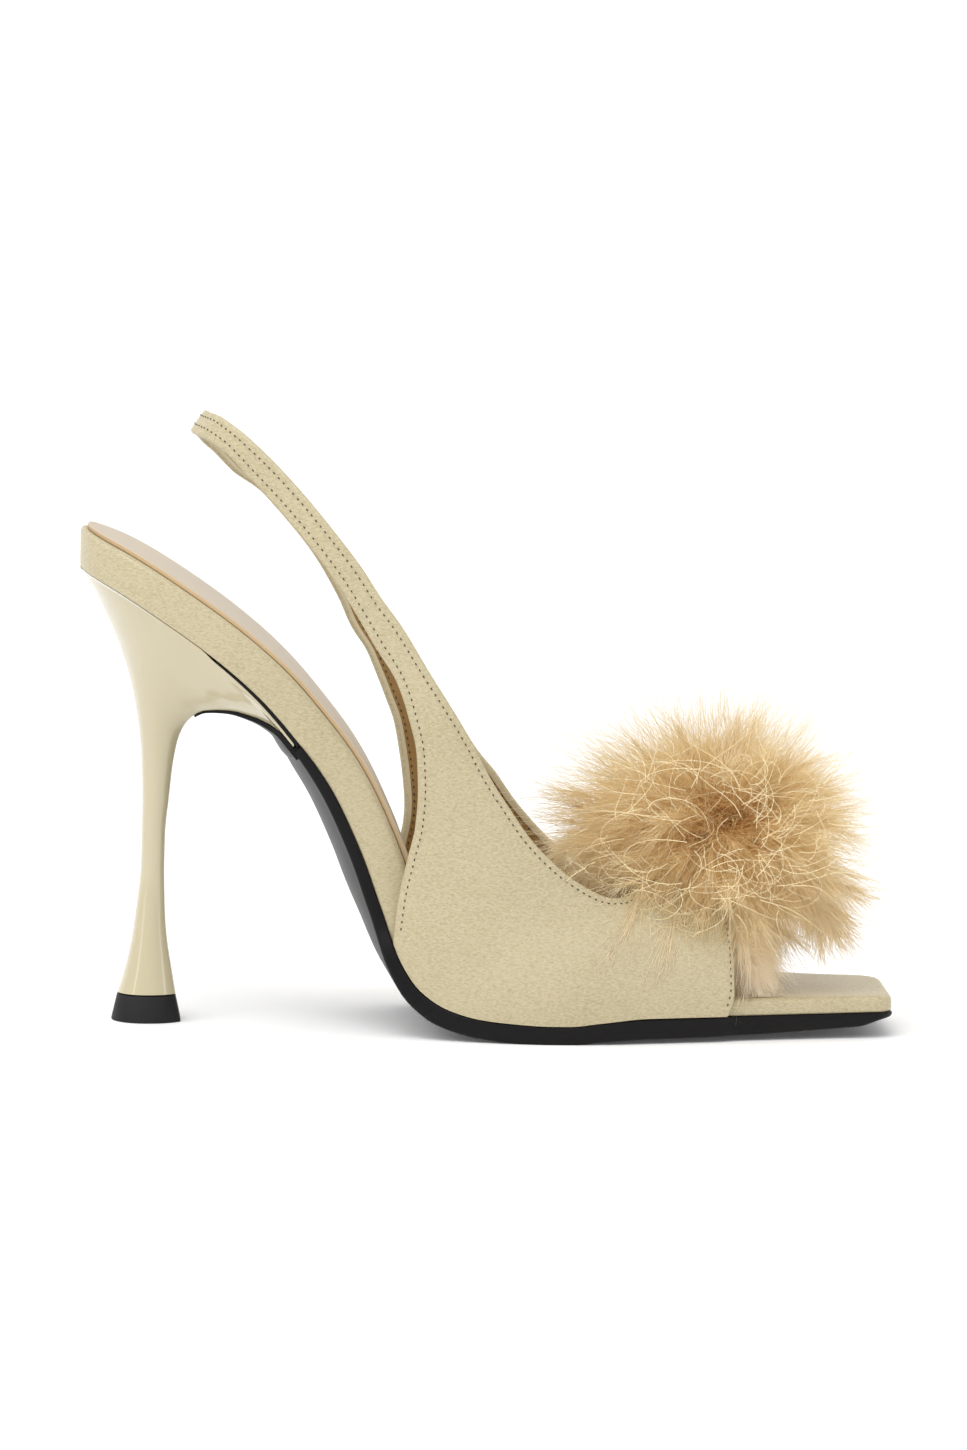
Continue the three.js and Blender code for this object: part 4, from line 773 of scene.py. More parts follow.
def upper_sections():
    """The upper's wall as one closed section at each rib, all round the shoe: the outer face, a rounded
    lower edge, the inner face and a rounded topline. On the sole the lower edge is cut flat. Returns the
    points, each face's slot, and a UV map of the inner face's distance from its free edges."""
    ribs = np.linspace(0, MIDDLE_RIB, MIDDLE_RIB * RIB_STEPS + 1)
    t = np.linspace(0, 1, SHARE_STEPS + 1)
    v = mix(t, 0.5 - 0.5 * np.cos(np.pi * t), 0.4)
    outer, normals, soles = [], [], []
    for side, at in ((LATERAL, ribs), (MEDIAL, ribs[1:-1][::-1])):
        outer.append(upper_face(at[:, None], side, v[None]))
        normals.append(upper_normal(at[:, None], side, v[None]))
        soles.append((at >= QUARTER_RIB) & (at <= VAMP_RIB))
    outer, normals, sole = np.concatenate(outer), np.concatenate(normals), np.concatenate(soles)
    inner = outer - normals * UPPER_WALL
    turn = np.linspace(0, np.pi, FOLD_STEPS + 2)[1:-1]

    def fold(j, k, reach):
        away = unit(outer[:, j] - outer[:, k])[:, None]
        middle = (outer[:, j] + inner[:, j])[:, None] / 2
        across = normals[:, j][:, None] * UPPER_WALL / 2
        reach = (np.ones(len(outer)) * reach)[:, None, None] * UPPER_WALL
        return middle + across * np.cos(turn)[None, :, None] + away * reach * np.sin(turn)[None, :, None]

    low = fold(-1, -2, np.where(sole, 0, FOLD))
    high = fold(0, 1, FOLD)[:, ::-1]
    section = np.concatenate([outer, low, inner[:, ::-1], high], axis=1)
    slots = np.zeros(section.shape[1], int)
    first_inner = SHARE_STEPS + 1 + FOLD_STEPS
    slots[first_inner : first_inner + SHARE_STEPS] = 1
    length = np.linalg.norm(outer[:, -1] - outer[:, 0], axis=-1)[:, None]
    from_edge = np.minimum(v, np.where(sole[:, None], 1, 1 - v)) * length
    uv = np.zeros((*section.shape[:2], 2))
    uv[:, first_inner : first_inner + SHARE_STEPS + 1, 0] = from_edge[:, ::-1] / UV_REACH
    return section, slots, uv


# Threads, barbs and quills

TOPLINE_STITCH, REAR_STITCH, MOUTH_STITCH = 1.1, 1.6, 1.1
THREAD_SIDES, BARB_SIDES, QUILL_SIDES = 6, 3, 5


def tubes(paths, radii, sides):
    """Closed tubes along rows of points: a ring of sides points at each but the last, which is the tip.
    Returns the points and the triangles."""
    n, k = paths.shape[:2]
    run = unit(np.gradient(paths, axis=1))
    lead = unit(paths[:, -1] - paths[:, 0])
    guide = np.where(np.abs(lead[:, 2:]) > 0.8, [[1.0, 0.2, 0]], [[0.15, 0.1, 1.0]])[:, None]
    across = unit(np.cross(run, guide))
    over = np.cross(across, run)
    turn = 2 * np.pi * np.arange(sides) / sides
    spokes = np.cos(turn)[:, None] * across[:, :-1, None] + np.sin(turn)[:, None] * over[:, :-1, None]
    rings = paths[:, :-1, None] + radii[:, :-1, None, None] * spokes
    verts = np.concatenate([rings.reshape(n, -1, 3), paths[:, -1:]], axis=1)
    tip = (k - 1) * sides
    j = np.arange(sides)
    after = (j + 1) % sides
    base = (np.arange(k - 2) * sides)[:, None]
    a, b, c, d = base + j, base + after, base + j + sides, base + after + sides
    walls = np.concatenate([np.stack([a, d, b], -1), np.stack([a, c, d], -1)]).reshape(-1, 3)
    point = np.stack([tip - sides + j, np.full(sides, tip), tip - sides + after], -1)
    cap = np.stack([np.zeros(sides - 2, int), j[1:-1], j[2:]], -1)
    one = np.concatenate([walls, point, cap])
    tris = (one + (np.arange(n) * (tip + 1))[:, None, None]).reshape(-1, 3)
    return verts, tris


def stitch_row(at, side, v, pitch, length, thickness, inside=False):
    """Stitches along a line on the upper: short round-ended threads at an even pitch, half sunk."""
    path, normal = upper_face(at, side, v), upper_normal(at, side, v)
    if inside:
        path, normal = path - normal * UPPER_WALL, -normal
    arc = np.concatenate([[0], np.cumsum(np.linalg.norm(np.diff(path, axis=0), axis=1))])
    centres = np.arange(pitch, arc[-1] - pitch, pitch)
    offsets = np.array([-0.5, -0.38, 0.0, 0.38, 0.5]) * length
    places = centres[:, None] + offsets

    def along(values):
        return np.stack([np.interp(places, arc, values[:, c]) for c in range(3)], -1)

    lift = np.array([-0.1, 0.25, 0.5, 0.25, -0.1]) * thickness
    rows = along(path) + unit(along(normal)) * lift[:, None]
    radii = np.tile(np.array([0.25, 0.9, 1.0, 0.9, 0.0]) * thickness / 2, (len(rows), 1))
    return rows, radii


def stitch_lines():
    """The seams that show: beside the topline all round, beside the rear edges, and round the mouth."""
    lines = []
    for side in (LATERAL, MEDIAL):
        for first, last, distance, from_top in (
            (0.05, MIDDLE_RIB, TOPLINE_STITCH, True),
            (0.05, QUARTER_RIB - 0.06, REAR_STITCH, False),
            (VAMP_RIB + 0.05, MIDDLE_RIB, MOUTH_STITCH, False),
        ):
            at = np.linspace(first, last, 600)
            length = np.linalg.norm(edge_point(at, side) - topline_point(at, side), axis=-1)
            share = np.minimum(distance / length, 0.45)
            lines.append((at, side, share if from_top else 1 - share))
    return lines

# The pompom

POMPOM_CENTRE = np.array([SEAT_BACK + 157.0, 0.0, 48.5])
POMPOM_REACH = np.array([34.0, 34.0, 28.0])
BACK_REACH = 43.0
EYE = unit(np.array([0.02, -1.0, 0.05]))
GOLDEN_ANGLE = math.pi * (3 - math.sqrt(5))
VAMP_CLEARANCE = 0.35
BARB_RADIUS = 0.07
WISP_RADIUS = 0.045
QUILL_STEPS = 12
PLUME_PIECES = 4
APRON_ROOT = (141.0, 22.0, 36.0)
UV_DISTANCE = 1.5


def reaches(v):
    """The soft outline's half axes on the side that a vector points to: it reaches further back."""
    reach = np.broadcast_to(POMPOM_REACH, v.shape).copy()
    reach[..., 0] = np.where(v[..., 0] < 0, BACK_REACH, reach[..., 0])
    return reach


def reach_along(direction):
    """Distance from the pompom's centre to its soft outline, an ellipsoid, along a direction."""
    return 1 / np.linalg.norm(direction / reaches(direction), axis=-1)


def clear_of_shoe(p):
    """Moves points out of the vamp, on to its outer face, and up off the footbed and the floor."""
    ribs, shares = np.arange(9, MIDDLE_RIB + 0.1, 0.5), np.linspace(0, 1, 13)
    face, normal = [], []
    for side in (LATERAL, MEDIAL):
        face.append(upper_face(ribs[:, None], side, shares[None]).reshape(-1, 3))
        normal.append(upper_normal(ribs[:, None], side, shares[None]).reshape(-1, 3))
    face, normal = np.concatenate(face), np.concatenate(normal)
    pitch = 2.5
    low = np.array([70.0, -50, 0])
    size = np.array([36, 40, 36])
    axes = [low[c] + (np.arange(size[c]) + 0.5) * pitch for c in range(3)]
    cells = np.stack(np.meshgrid(*axes, indexing="ij"), -1).reshape(-1, 3)
    nearest = np.concatenate(
        [np.argmin(((part[:, None] - face[None]) ** 2).sum(-1), 1) for part in np.array_split(cells, 24)]
    ).reshape(size)
    shape = p.shape
    p = p.reshape(-1, 3).copy()
    for _ in range(2):
        cell = ((p - low) / pitch).astype(int)
        inside = ((cell >= 0) & (cell < size)).all(1)
        cell = np.clip(cell, 0, size - 1)
        k = nearest[cell[:, 0], cell[:, 1], cell[:, 2]]
        offset = p - face[k]
        depth = (offset * normal[k]).sum(1)
        beside = np.linalg.norm(offset - depth[:, None] * normal[k], axis=1)
        hit = inside & (depth < VAMP_CLEARANCE) & (depth > -16) & (beside < 4.5)
        p[hit] += normal[k[hit]] * (VAMP_CLEARANCE - depth[hit])[:, None]
    arc = arc_at_x(p[:, 0])
    floor = np.interp(p[:, 0], _line_x, _line_z) + footbed_thickness(arc) + 0.4
    width = np.where(p[:, 1] < 0, half(arc, LATERAL), half(arc, MEDIAL)) + 0.8
    on_bed = (np.abs(p[:, 1]) < width) & (p[:, 0] < SEAT_BACK + SHOE_LENGTH + 0.5)
    p[:, 2] = np.maximum(p[:, 2], np.where(on_bed, floor, 3.0))
    return p.reshape(shape)


def plume_directions(count):
    """Directions spread evenly over a sphere round the eye's axis by the golden angle, but for a gap
    at the eye itself."""
    i = np.arange(count) + 0.5
    toward = 1 - i / count * 2
    toward = toward * 0.98 - 0.02
    flat = np.sqrt(1 - toward**2)
    turn = i * GOLDEN_ANGLE
    side = unit(np.cross(EYE, [0, 0, 1.0]))
    up = np.cross(side, EYE)
    return unit(
        toward[:, None] * EYE
        + (flat * np.cos(turn))[:, None] * side
        + (flat * np.sin(turn))[:, None] * up
    )


def square_to(direction, rng):
    """A random unit vector square to each direction."""
    random = rng.normal(size=direction.shape)
    random -= (random * direction).sum(-1, keepdims=True) * direction
    return unit(random)


def plumes(rng, root, direction, reach, barbs, droop, tone):
    """Marabou plumes: a short curved quill leaves each root, and soft barbs leave it on both sides,
    turned towards its tip. Returns the barbs' paths, radii and each one's tone."""
    count = len(direction)
    toward = (direction * EYE).sum(-1, keepdims=True)
    away = direction - toward * EYE
    bend = away * np.clip(toward, 0, 1) * 0.5 + square_to(direction, rng) * rng.uniform(0.1, 0.5, (count, 1))
    bend[:, 2] -= droop
    quill = (reach * rng.uniform(0.46, 0.66, count))[:, None, None]
    flat = square_to(direction, rng)[:, None]
    t = rng.uniform(0.02, 1, (count, barbs)) ** 0.85
    run = unit(direction[:, None] + 2 * bend[:, None] * t[..., None])
    start = root[:, None] + (direction[:, None] * t[..., None] + bend[:, None] * (t**2)[..., None]) * quill
    side = rng.choice([-1.0, 1.0], t.shape)[..., None]
    turn = rng.normal(0, 0.7, t.shape)[..., None]
    sideways = flat * np.cos(turn) + np.cross(run, flat) * np.sin(turn)
    open_angle = np.radians(mix(66, 16, t) + rng.normal(0, 13, t.shape))[..., None]
    aim = unit(run * np.cos(open_angle) + side * sideways * np.sin(open_angle))
    long = np.where(rng.random(t.shape) < 0.16, rng.uniform(1.2, 1.75, t.shape), 1)
    length = reach[:, None] * rng.uniform(0.26, 0.5, t.shape) * (0.7 + 0.3 * np.sin(np.pi * t)) * long
    steps = np.array([0, 0.36, 0.72, 1.0])
    s = steps[:, None]
    forward = run - aim * (run * aim).sum(-1, keepdims=True)
    wave = square_to(aim, rng) * rng.uniform(0, 0.4, t.shape)[..., None]
    paths = start[..., None, :] + length[..., None, None] * (
        aim[..., None, :] * s + forward[..., None, :] * 0.34 * s**2 + wave[..., None, :] * s**2
    )
    paths[..., 2] -= (length[..., None] * 0.1) * steps**2
    tones = np.clip(tone + rng.normal(0, 0.2, (count, 1)) + rng.normal(0, 0.2, t.shape), 0, 1)
    radii = np.array([0.9, 0.8, 0.55, 0]) * BARB_RADIUS * np.ones((*t.shape, 1))
    return paths.reshape(-1, 4, 3), radii.reshape(-1, 4), tones.reshape(-1)


def ball_plumes(rng, count, barbs):
    """The plumes of the ball itself, from the centre outwards all round."""
    direction = unit(plume_directions(count) + rng.normal(size=(count, 3)) * 0.16)
    reach = reach_along(direction) * rng.uniform(0.78, 1.12, count)
    root = POMPOM_CENTRE + direction * (reach * 0.16)[:, None]
    return plumes(rng, root, direction, reach, barbs, 0.12, 0.5)


# Root, how far the roots spread, direction and reach of a tuft
FRONT_TUFT = ((158.0, -2.0, 38.0), (4.0, 15.0, 4.0), (0.75, -0.1, -0.65), 24.0)
BACK_TUFT = ((118.0, -2.0, 47.0), (4.0, 9.0, 3.0), (-0.85, -0.3, -0.3), 25.0)


def tuft(rng, count, barbs, root, spread, direction, reach):
    """A group of plumes that leave the ball's underside together."""
    root = np.array(root) + rng.uniform(-1, 1, (count, 3)) * spread
    direction = unit(np.array(direction) + rng.normal(size=(count, 3)) * 0.2)
    return plumes(rng, root, direction, reach * rng.uniform(0.8, 1.1, count), barbs, 0.05, 0.7)


def hanging_plumes(rng, count, barbs):
    """The plumes that hang from the vamp's front edge down to the footbed."""
    across = np.linspace(-1, 1, count) + rng.normal(0, 0.05, count)
    bow = across**2
    root = points(APRON_ROOT[0] + 2.0 * (1 - bow), across * APRON_ROOT[1], APRON_ROOT[2] - 8 * bow)
    direction = unit(points(rng.uniform(0.15, 0.75, count), across * 0.35, rng.uniform(-1.1, -0.7, count)))
    reach = rng.uniform(22, 29, count)
    paths, radii, tones = plumes(rng, root, direction, reach, barbs, 0.1, 0.75)
    arc = arc_at_x(paths[..., 0])
    low, high = 1.5 - half(arc, LATERAL), half(arc, MEDIAL) - 1.5
    paths[..., 1] = np.clip(paths[..., 1], low, high)
    return paths, radii, tones


def wisps(rng, count):
    """Long single barbs that stand out past the soft outline, finer and paler than the rest."""
    direction = unit(rng.normal(size=(count, 3)) + np.array([0, -0.25, 0.25]))
    keep = (direction @ EYE) < 0.9
    direction = direction[keep]
    reach = reach_along(direction)
    start = POMPOM_CENTRE + direction * (reach * rng.uniform(0.5, 0.95, len(reach)))[:, None]
    further = 1 + 0.5 * np.clip(direction[:, 2], 0, 1) + 0.25 * np.abs(direction[:, 0])
    length = reach * rng.uniform(0.25, 0.5, len(reach)) * further
    bend = square_to(direction, rng) * rng.uniform(0.0, 0.42, (len(reach), 1))
    s = np.linspace(0, 1, 6)[:, None]
    aim = unit(direction + rng.normal(size=direction.shape) * 0.22)
    paths = start[:, None] + length[:, None, None] * (aim[:, None] * s + bend[:, None] * s**2)
    radii = np.array([0.8, 0.75, 0.65, 0.5, 0.35, 0]) * WISP_RADIUS * np.ones((len(reach), 1))
    return paths, radii, rng.uniform(0.5, 1, len(reach))


def quills(rng, count):
    """Pale bare quills that curl over the front of the pompom: each starts a little way from the eye
    and runs over the soft outline's ellipsoid on an arc of its own curl."""
    side = unit(np.cross(EYE, [0, 0, 1.0]))
    up = np.cross(side, EYE)
    angle = rng.uniform(0, 2 * np.pi, count)
    begin = rng.uniform(0.12, 0.8, count)
    heading = angle + rng.normal(0, 1.2, count)
    curl = rng.normal(0, 2.2, count)
    span = rng.uniform(0.3, 0.85, count)
    s = np.linspace(0, 1, QUILL_STEPS)
    turn = heading[:, None] + curl[:, None] * s + 0.35 * np.sin(5 * s + angle[:, None])
    step = (span / (QUILL_STEPS - 1))[:, None]
    a = begin[:, None] * np.cos(angle)[:, None] + np.cumsum(np.cos(turn) * step, axis=1)
    b = begin[:, None] * np.sin(angle)[:, None] + np.cumsum(np.sin(turn) * step, axis=1)
    radius = np.hypot(a, b)
    cover = np.sqrt(np.clip(1 - (radius * 0.8) ** 2, 0.02, 1)) * rng.uniform(0.86, 1.08, count)[:, None]
    planar = a[..., None] * side + b[..., None] * up
    paths = POMPOM_CENTRE + planar * reaches(planar) + EYE * (cover * POMPOM_REACH[1])[..., None]
    radii = rng.uniform(0.05, 0.1, count)[:, None] * np.linspace(1, 0.3, QUILL_STEPS)
    return paths, radii, rng.uniform(0, 1, count)


def feather_piece(name, batch, sides, materials):
    """One mesh of barbs: tone and distance from the centre go into its UV map for the colours and the painted
    shade near the centre.
    """
    build = Build()
    paths, radii, tone = batch
    paths = clear_of_shoe(paths)
    verts, tris = tubes(paths, radii, sides)
    offset = verts - POMPOM_CENTRE
    distance = np.linalg.norm(offset / reaches(offset), axis=-1)
    uv = np.stack([np.broadcast_to(tone[:, None], distance.shape), np.clip(distance / UV_DISTANCE, 0, 1)], -1)
    build.faces(verts.reshape(-1, 3), tris, uv=uv.reshape(-1, 2))
    return build.finish(name, materials)


# Materials

BORDER = 0.9
# Stands for the light that goes back and forth between the fine barbs.
DOWN_GLOW = 0.22
LIGHT_THROUGH = 0.7
BARB_PALENESS = 0.35


def add_node(tree, kind, links=None, **settings):
    """Adds a node with its settings; links gives each named or numbered input a socket or a value."""
    made = tree.nodes.new(kind)
    for key, value in settings.items():
        setattr(made, key, value)
    for key, value in (links or {}).items():
        if isinstance(value, bpy.types.NodeSocket):
            tree.links.new(value, made.inputs[key])
        else:
            made.inputs[key].default_value = value
    return made


def new_material(name, **values):
    """A material with one Principled shader, and the values of its sockets."""
    material = bpy.data.materials.new(name)
    material.use_nodes = True
    tree = material.node_tree
    shader = tree.nodes["Principled BSDF"]
    for key, value in values.items():
        shader.inputs[key.replace("_", " ")].default_value = value
    return material, tree, shader


def duchess_satin(colour, shade):
    """Duchess satin over a board or stitched shell, woven of dull gold filament: its floats give a soft
    broad sheen, and the slant of the weave shows as a fine grain."""
    material, tree, shader = new_material(
        "duchess satin", Roughness=0.4, IOR=1.5, Sheen_Weight=0.25, Sheen_Roughness=0.35, Anisotropic=0.3
    )
    shader.inputs["Sheen Tint"].default_value = hex_rgb("#FFF6D8")
    place = add_node(tree, "ShaderNodeTexCoord").outputs["Object"]
    # The floats of the weave are about 0.1 mm; they are drawn 0.45 mm apart to show at this size.
    turned = add_node(
        tree, "ShaderNodeMapping", {"Vector": place, "Rotation": (0, math.radians(38), math.radians(20)),
                                    "Scale": (1, 1, 2.6)},
    )
    grain = add_node(
        tree, "ShaderNodeTexNoise", {"Vector": turned.outputs[0], "Scale": 1 / 0.0009, "Detail": 3.0,
                                     "Roughness": 0.65},
    )
    broad = add_node(tree, "ShaderNodeTexNoise", {"Vector": place, "Scale": 1 / 0.03, "Detail": 1.0})
    sharp = add_node(
        tree, "ShaderNodeMapRange", {0: grain.outputs["Fac"], 1: 0.3, 2: 0.7, 3: 0.15, 4: 1.0}
    )
    blend = add_node(
        tree, "ShaderNodeMath", {0: broad.outputs["Fac"], 1: 0.4, 2: sharp.outputs[0]},
        operation="MULTIPLY_ADD", use_clamp=True,
    )
    tone = add_node(tree, "ShaderNodeMix", {0: blend.outputs[0], 6: shade, 7: colour}, data_type="RGBA")
    tree.links.new(tone.outputs[2], shader.inputs["Base Color"])
    bump = add_node(
        tree, "ShaderNodeBump", {"Height": grain.outputs["Fac"], "Strength": 0.5, "Distance": 0.0002}
    )
    tree.links.new(bump.outputs[0], shader.inputs["Normal"])
    return material


def heel_lacquer(colour):
    """Sprayed lacquer over moulded plastic: flat colour under a deep clear gloss."""
    material, _, _ = new_material(
        "heel lacquer", Base_Color=colour, Roughness=0.22, IOR=1.5, Coat_Weight=1.0, Coat_Roughness=0.03
    )
    return material


def burnished_sole(colour):
    """Dyed and burnished sole leather: near black, smooth, with a waxed gloss."""
    material, tree, shader = new_material(
        "burnished sole leather", Base_Color=colour, Roughness=0.4, IOR=1.5, Specular_IOR_Level=0.2
    )
    place = add_node(tree, "ShaderNodeTexCoord").outputs["Object"]
    grain = add_node(tree, "ShaderNodeTexNoise", {"Vector": place, "Scale": 1 / 0.0015, "Detail": 3.0})
    bump = add_node(
        tree, "ShaderNodeBump", {"Height": grain.outputs["Fac"], "Strength": 0.12, "Distance": 0.0001}
    )
    tree.links.new(bump.outputs[0], shader.inputs["Normal"])
    return material


def tip_rubber(colour):
    """Moulded wear rubber: matt and dark."""
    material, _, _ = new_material(
        "moulded rubber", Base_Color=colour, Roughness=0.62, IOR=1.52, Specular_IOR_Level=0.3
    )
    return material


def sock_leather(colour):
    """Coated sock leather: pale and smooth with a low sheen, and the faintest grain."""
    material, tree, shader = new_material(
        "coated sock leather", Base_Color=colour, Roughness=0.5, IOR=1.5, Specular_IOR_Level=0.2
    )
    place = add_node(tree, "ShaderNodeTexCoord").outputs["Object"]
    grain = add_node(tree, "ShaderNodeTexVoronoi", {"Vector": place, "Scale": 1 / 0.0012})
    bump = add_node(
        tree, "ShaderNodeBump", {"Height": grain.outputs["Distance"], "Strength": 0.08, "Distance": 0.0001}
    )
    tree.links.new(bump.outputs[0], shader.inputs["Normal"])
    return material


def lining_leather(colour, border):
    """Unfinished goat lining: matt tan with a soft mottle. The satin is folded over on to it along the
    free edges, as far as the UV map's distance of BORDER."""
    material, tree, shader = new_material("goat lining", Roughness=0.6, IOR=1.45)
    place = add_node(tree, "ShaderNodeTexCoord").outputs["Object"]
    mottle = add_node(tree, "ShaderNodeTexNoise", {"Vector": place, "Scale": 1 / 0.004, "Detail": 4.0})
    dark = tuple(c * 0.72 for c in colour[:3]) + (1.0,)
    tone = add_node(tree, "ShaderNodeMix", {0: mottle.outputs["Fac"], 6: dark, 7: colour}, data_type="RGBA")
    parts = add_node(tree, "ShaderNodeSeparateXYZ", {0: add_node(tree, "ShaderNodeUVMap").outputs[0]})
    width = BORDER / UV_REACH
    inside = add_node(tree, "ShaderNodeMath", {0: parts.outputs[0], 1: width}, operation="GREATER_THAN")
    folded = add_node(
        tree, "ShaderNodeMix", {0: inside.outputs[0], 6: border, 7: tone.outputs[2]}, data_type="RGBA"
    )
    tree.links.new(folded.outputs[2], shader.inputs["Base Color"])
    return material


def plain(name, colour, roughness):
    """A plain finish for thread and cut edges."""
    material, _, _ = new_material(name, Base_Color=colour, Roughness=roughness, IOR=1.5)
    return material


# Share of the way out from the pompom's centre to UV_DISTANCE, colour of the barbs there. The deep brown and
# near-black stops near the centre are painted shade of the ball's hollow middle; further out the golden and
# pale stops are the down's own colour.
BARB_COLOURS_AND_CORE_SHADE = [
    (0.0, "#2E180A"), (0.09, "#8E5A22"), (0.2, "#E4B468"), (0.34, "#F3DCA6"), (0.5, "#F8E9C2"),
    (0.68, "#FCF3DA"), (1.0, "#FFFAF0"),
]


def marabou(tint, paleness):
    """Dyed marabou down: fine matt barbs, golden towards their roots and pale where they thin out; painted
    shade makes them deep brown to near black at the ball's centre.
    """
    material, tree, shader = new_material("marabou down", Roughness=0.75, IOR=1.4, Sheen_Weight=0.2)
    shader.inputs["Specular IOR Level"].default_value = 0.25
    parts = add_node(tree, "ShaderNodeSeparateXYZ", {0: add_node(tree, "ShaderNodeUVMap").outputs[0]})
    # The ramp paints shade on the barbs near the centre, and gives the down its own golden and pale colours
    # further out.
    ramp = add_node(tree, "ShaderNodeValToRGB", {0: parts.outputs[1]})
    stops = ramp.color_ramp.elements
    while len(stops) < len(BARB_COLOURS_AND_CORE_SHADE):
        stops.new(0.5)
    for stop, (share, colour) in zip(stops, BARB_COLOURS_AND_CORE_SHADE):
        stop.position, stop.color = share, hex_rgb(colour)
    share = add_node(tree, "ShaderNodeMath", {0: parts.outputs[0], 1: paleness}, operation="MULTIPLY")
    tone = add_node(
        tree, "ShaderNodeMix", {0: share.outputs[0], 6: ramp.outputs[0], 7: tint}, data_type="RGBA"
    )
    tree.links.new(tone.outputs[2], shader.inputs["Base Color"])
    tree.links.new(tone.outputs[2], shader.inputs["Emission Color"])
    shader.inputs["Emission Strength"].default_value = DOWN_GLOW
    through_light = add_node(tree, "ShaderNodeBsdfTranslucent", {"Color": tone.outputs[2]})
    both = add_node(
        tree, "ShaderNodeMixShader", {0: LIGHT_THROUGH, 1: shader.outputs[0], 2: through_light.outputs[0]}
    )
    tree.links.new(both.outputs[0], tree.nodes["Material Output"].inputs["Surface"])
    return material


# Settings


def colour_setting(name, description, code):
    return FloatVectorProperty(
        name=name, description=description, subtype="COLOR", size=4, min=0, max=1, default=hex_rgb(code)
    )


def length_setting(name, description, millimetres):
    return FloatProperty(
        name=name, description=description, subtype="DISTANCE", unit="LENGTH", min=0,
        default=millimetres * MM, precision=5,
    )


class SandalColours(bpy.types.PropertyGroup):
    satin: colour_setting("Satin", "Lit side of the satin's weave", "#C1B595")
    satin_shade: colour_setting("Satin shade", "Shaded side of the satin's weave", "#978961")
    lacquer: colour_setting("Lacquer", "Colour of the heel", "#BFB494")
    sole: colour_setting("Sole", "Colour of the outsole", "#0B090A")
    rubber: colour_setting("Rubber", "Colour of the heel tip", "#181617")
    sock: colour_setting("Sock", "Colour of the insole", "#C2B4A0")
    lining: colour_setting("Lining", "Colour inside the upper and on cut edges", "#94733F")
    thread: colour_setting("Thread", "Colour of the stitches", "#3A2A16")
    feather: colour_setting("Feather", "Colour that the barbs are tinted with", "#EBD6AC")


class SandalSizes(bpy.types.PropertyGroup):
    stitch_pitch: length_setting("Stitch pitch", "Distance from one stitch to the next", 1.75)
    stitch_length: length_setting("Stitch length", "Length of each stitch that shows", 0.62)
    thread_thickness: length_setting("Thread thickness", "Diameter of the thread", 0.3)
    plume_count: IntProperty(name="Plumes", description="Plumes in the pompom", default=250, min=10)
    barb_count: IntProperty(name="Barbs", description="Barbs on each plume", default=130, min=10)
    wisp_count: IntProperty(name="Wisps", description="Long single barbs", default=4000, min=0)
    quill_count: IntProperty(name="Quills", description="Pale bare quills in front", default=170, min=0)
    seed: IntProperty(name="Seed", description="Start of the feathers' random numbers", default=7)


class SandalStage(bpy.types.PropertyGroup):
    floor: colour_setting("Floor", "Colour of the studio floor", "#F7F7F7")
    floor_glow: FloatProperty(
        name="Floor glow", description="Light from below the sweep", default=0.05, min=0
    )
    world_strength: FloatProperty(name="Surround", description="Brightness all round", default=0.68, min=0)
    sky_strength: FloatProperty(
        name="Ceiling", description="Strength of the ceiling light", default=1.5, min=0
    )
    key_power: FloatProperty(
        name="Key light", description="Power of the softbox above", subtype="POWER", default=2.6, min=0
    )


# Pieces

# The bands of the sock's section that are its cut edge, between underside and top
SOCK_EDGE = slice(5, 11)


class SANDAL_OT_heel(bpy.types.Operator):
    """Makes the flared stiletto heel"""

    bl_idname = "sandal.heel"
    bl_label = "Heel"

    def execute(self, context):
        build = Build()
        build.grid(heel_grid(), wrap_v=True)
        colours = context.scene.sandal_colours
        piece = build.finish("stiletto_heel", [heel_lacquer(colours.lacquer)], smooth_angle=38, weld=0.01)
        settle(piece, "lacquer", "heel")
        return {"FINISHED"}


class SANDAL_OT_heel_tip(bpy.types.Operator):
    """Makes the wear block under the heel"""

    bl_idname = "sandal.heel_tip"
    bl_label = "Heel tip"

    def execute(self, context):
        build = Build()
        build.grid(tip_rings(), wrap_v=True)
        colours = context.scene.sandal_colours
        piece = build.finish("wear_block", [tip_rubber(colours.rubber)], smooth_angle=38, weld=0.01)
        settle(piece, "tip_rubber", "heel_tip")
        return {"FINISHED"}


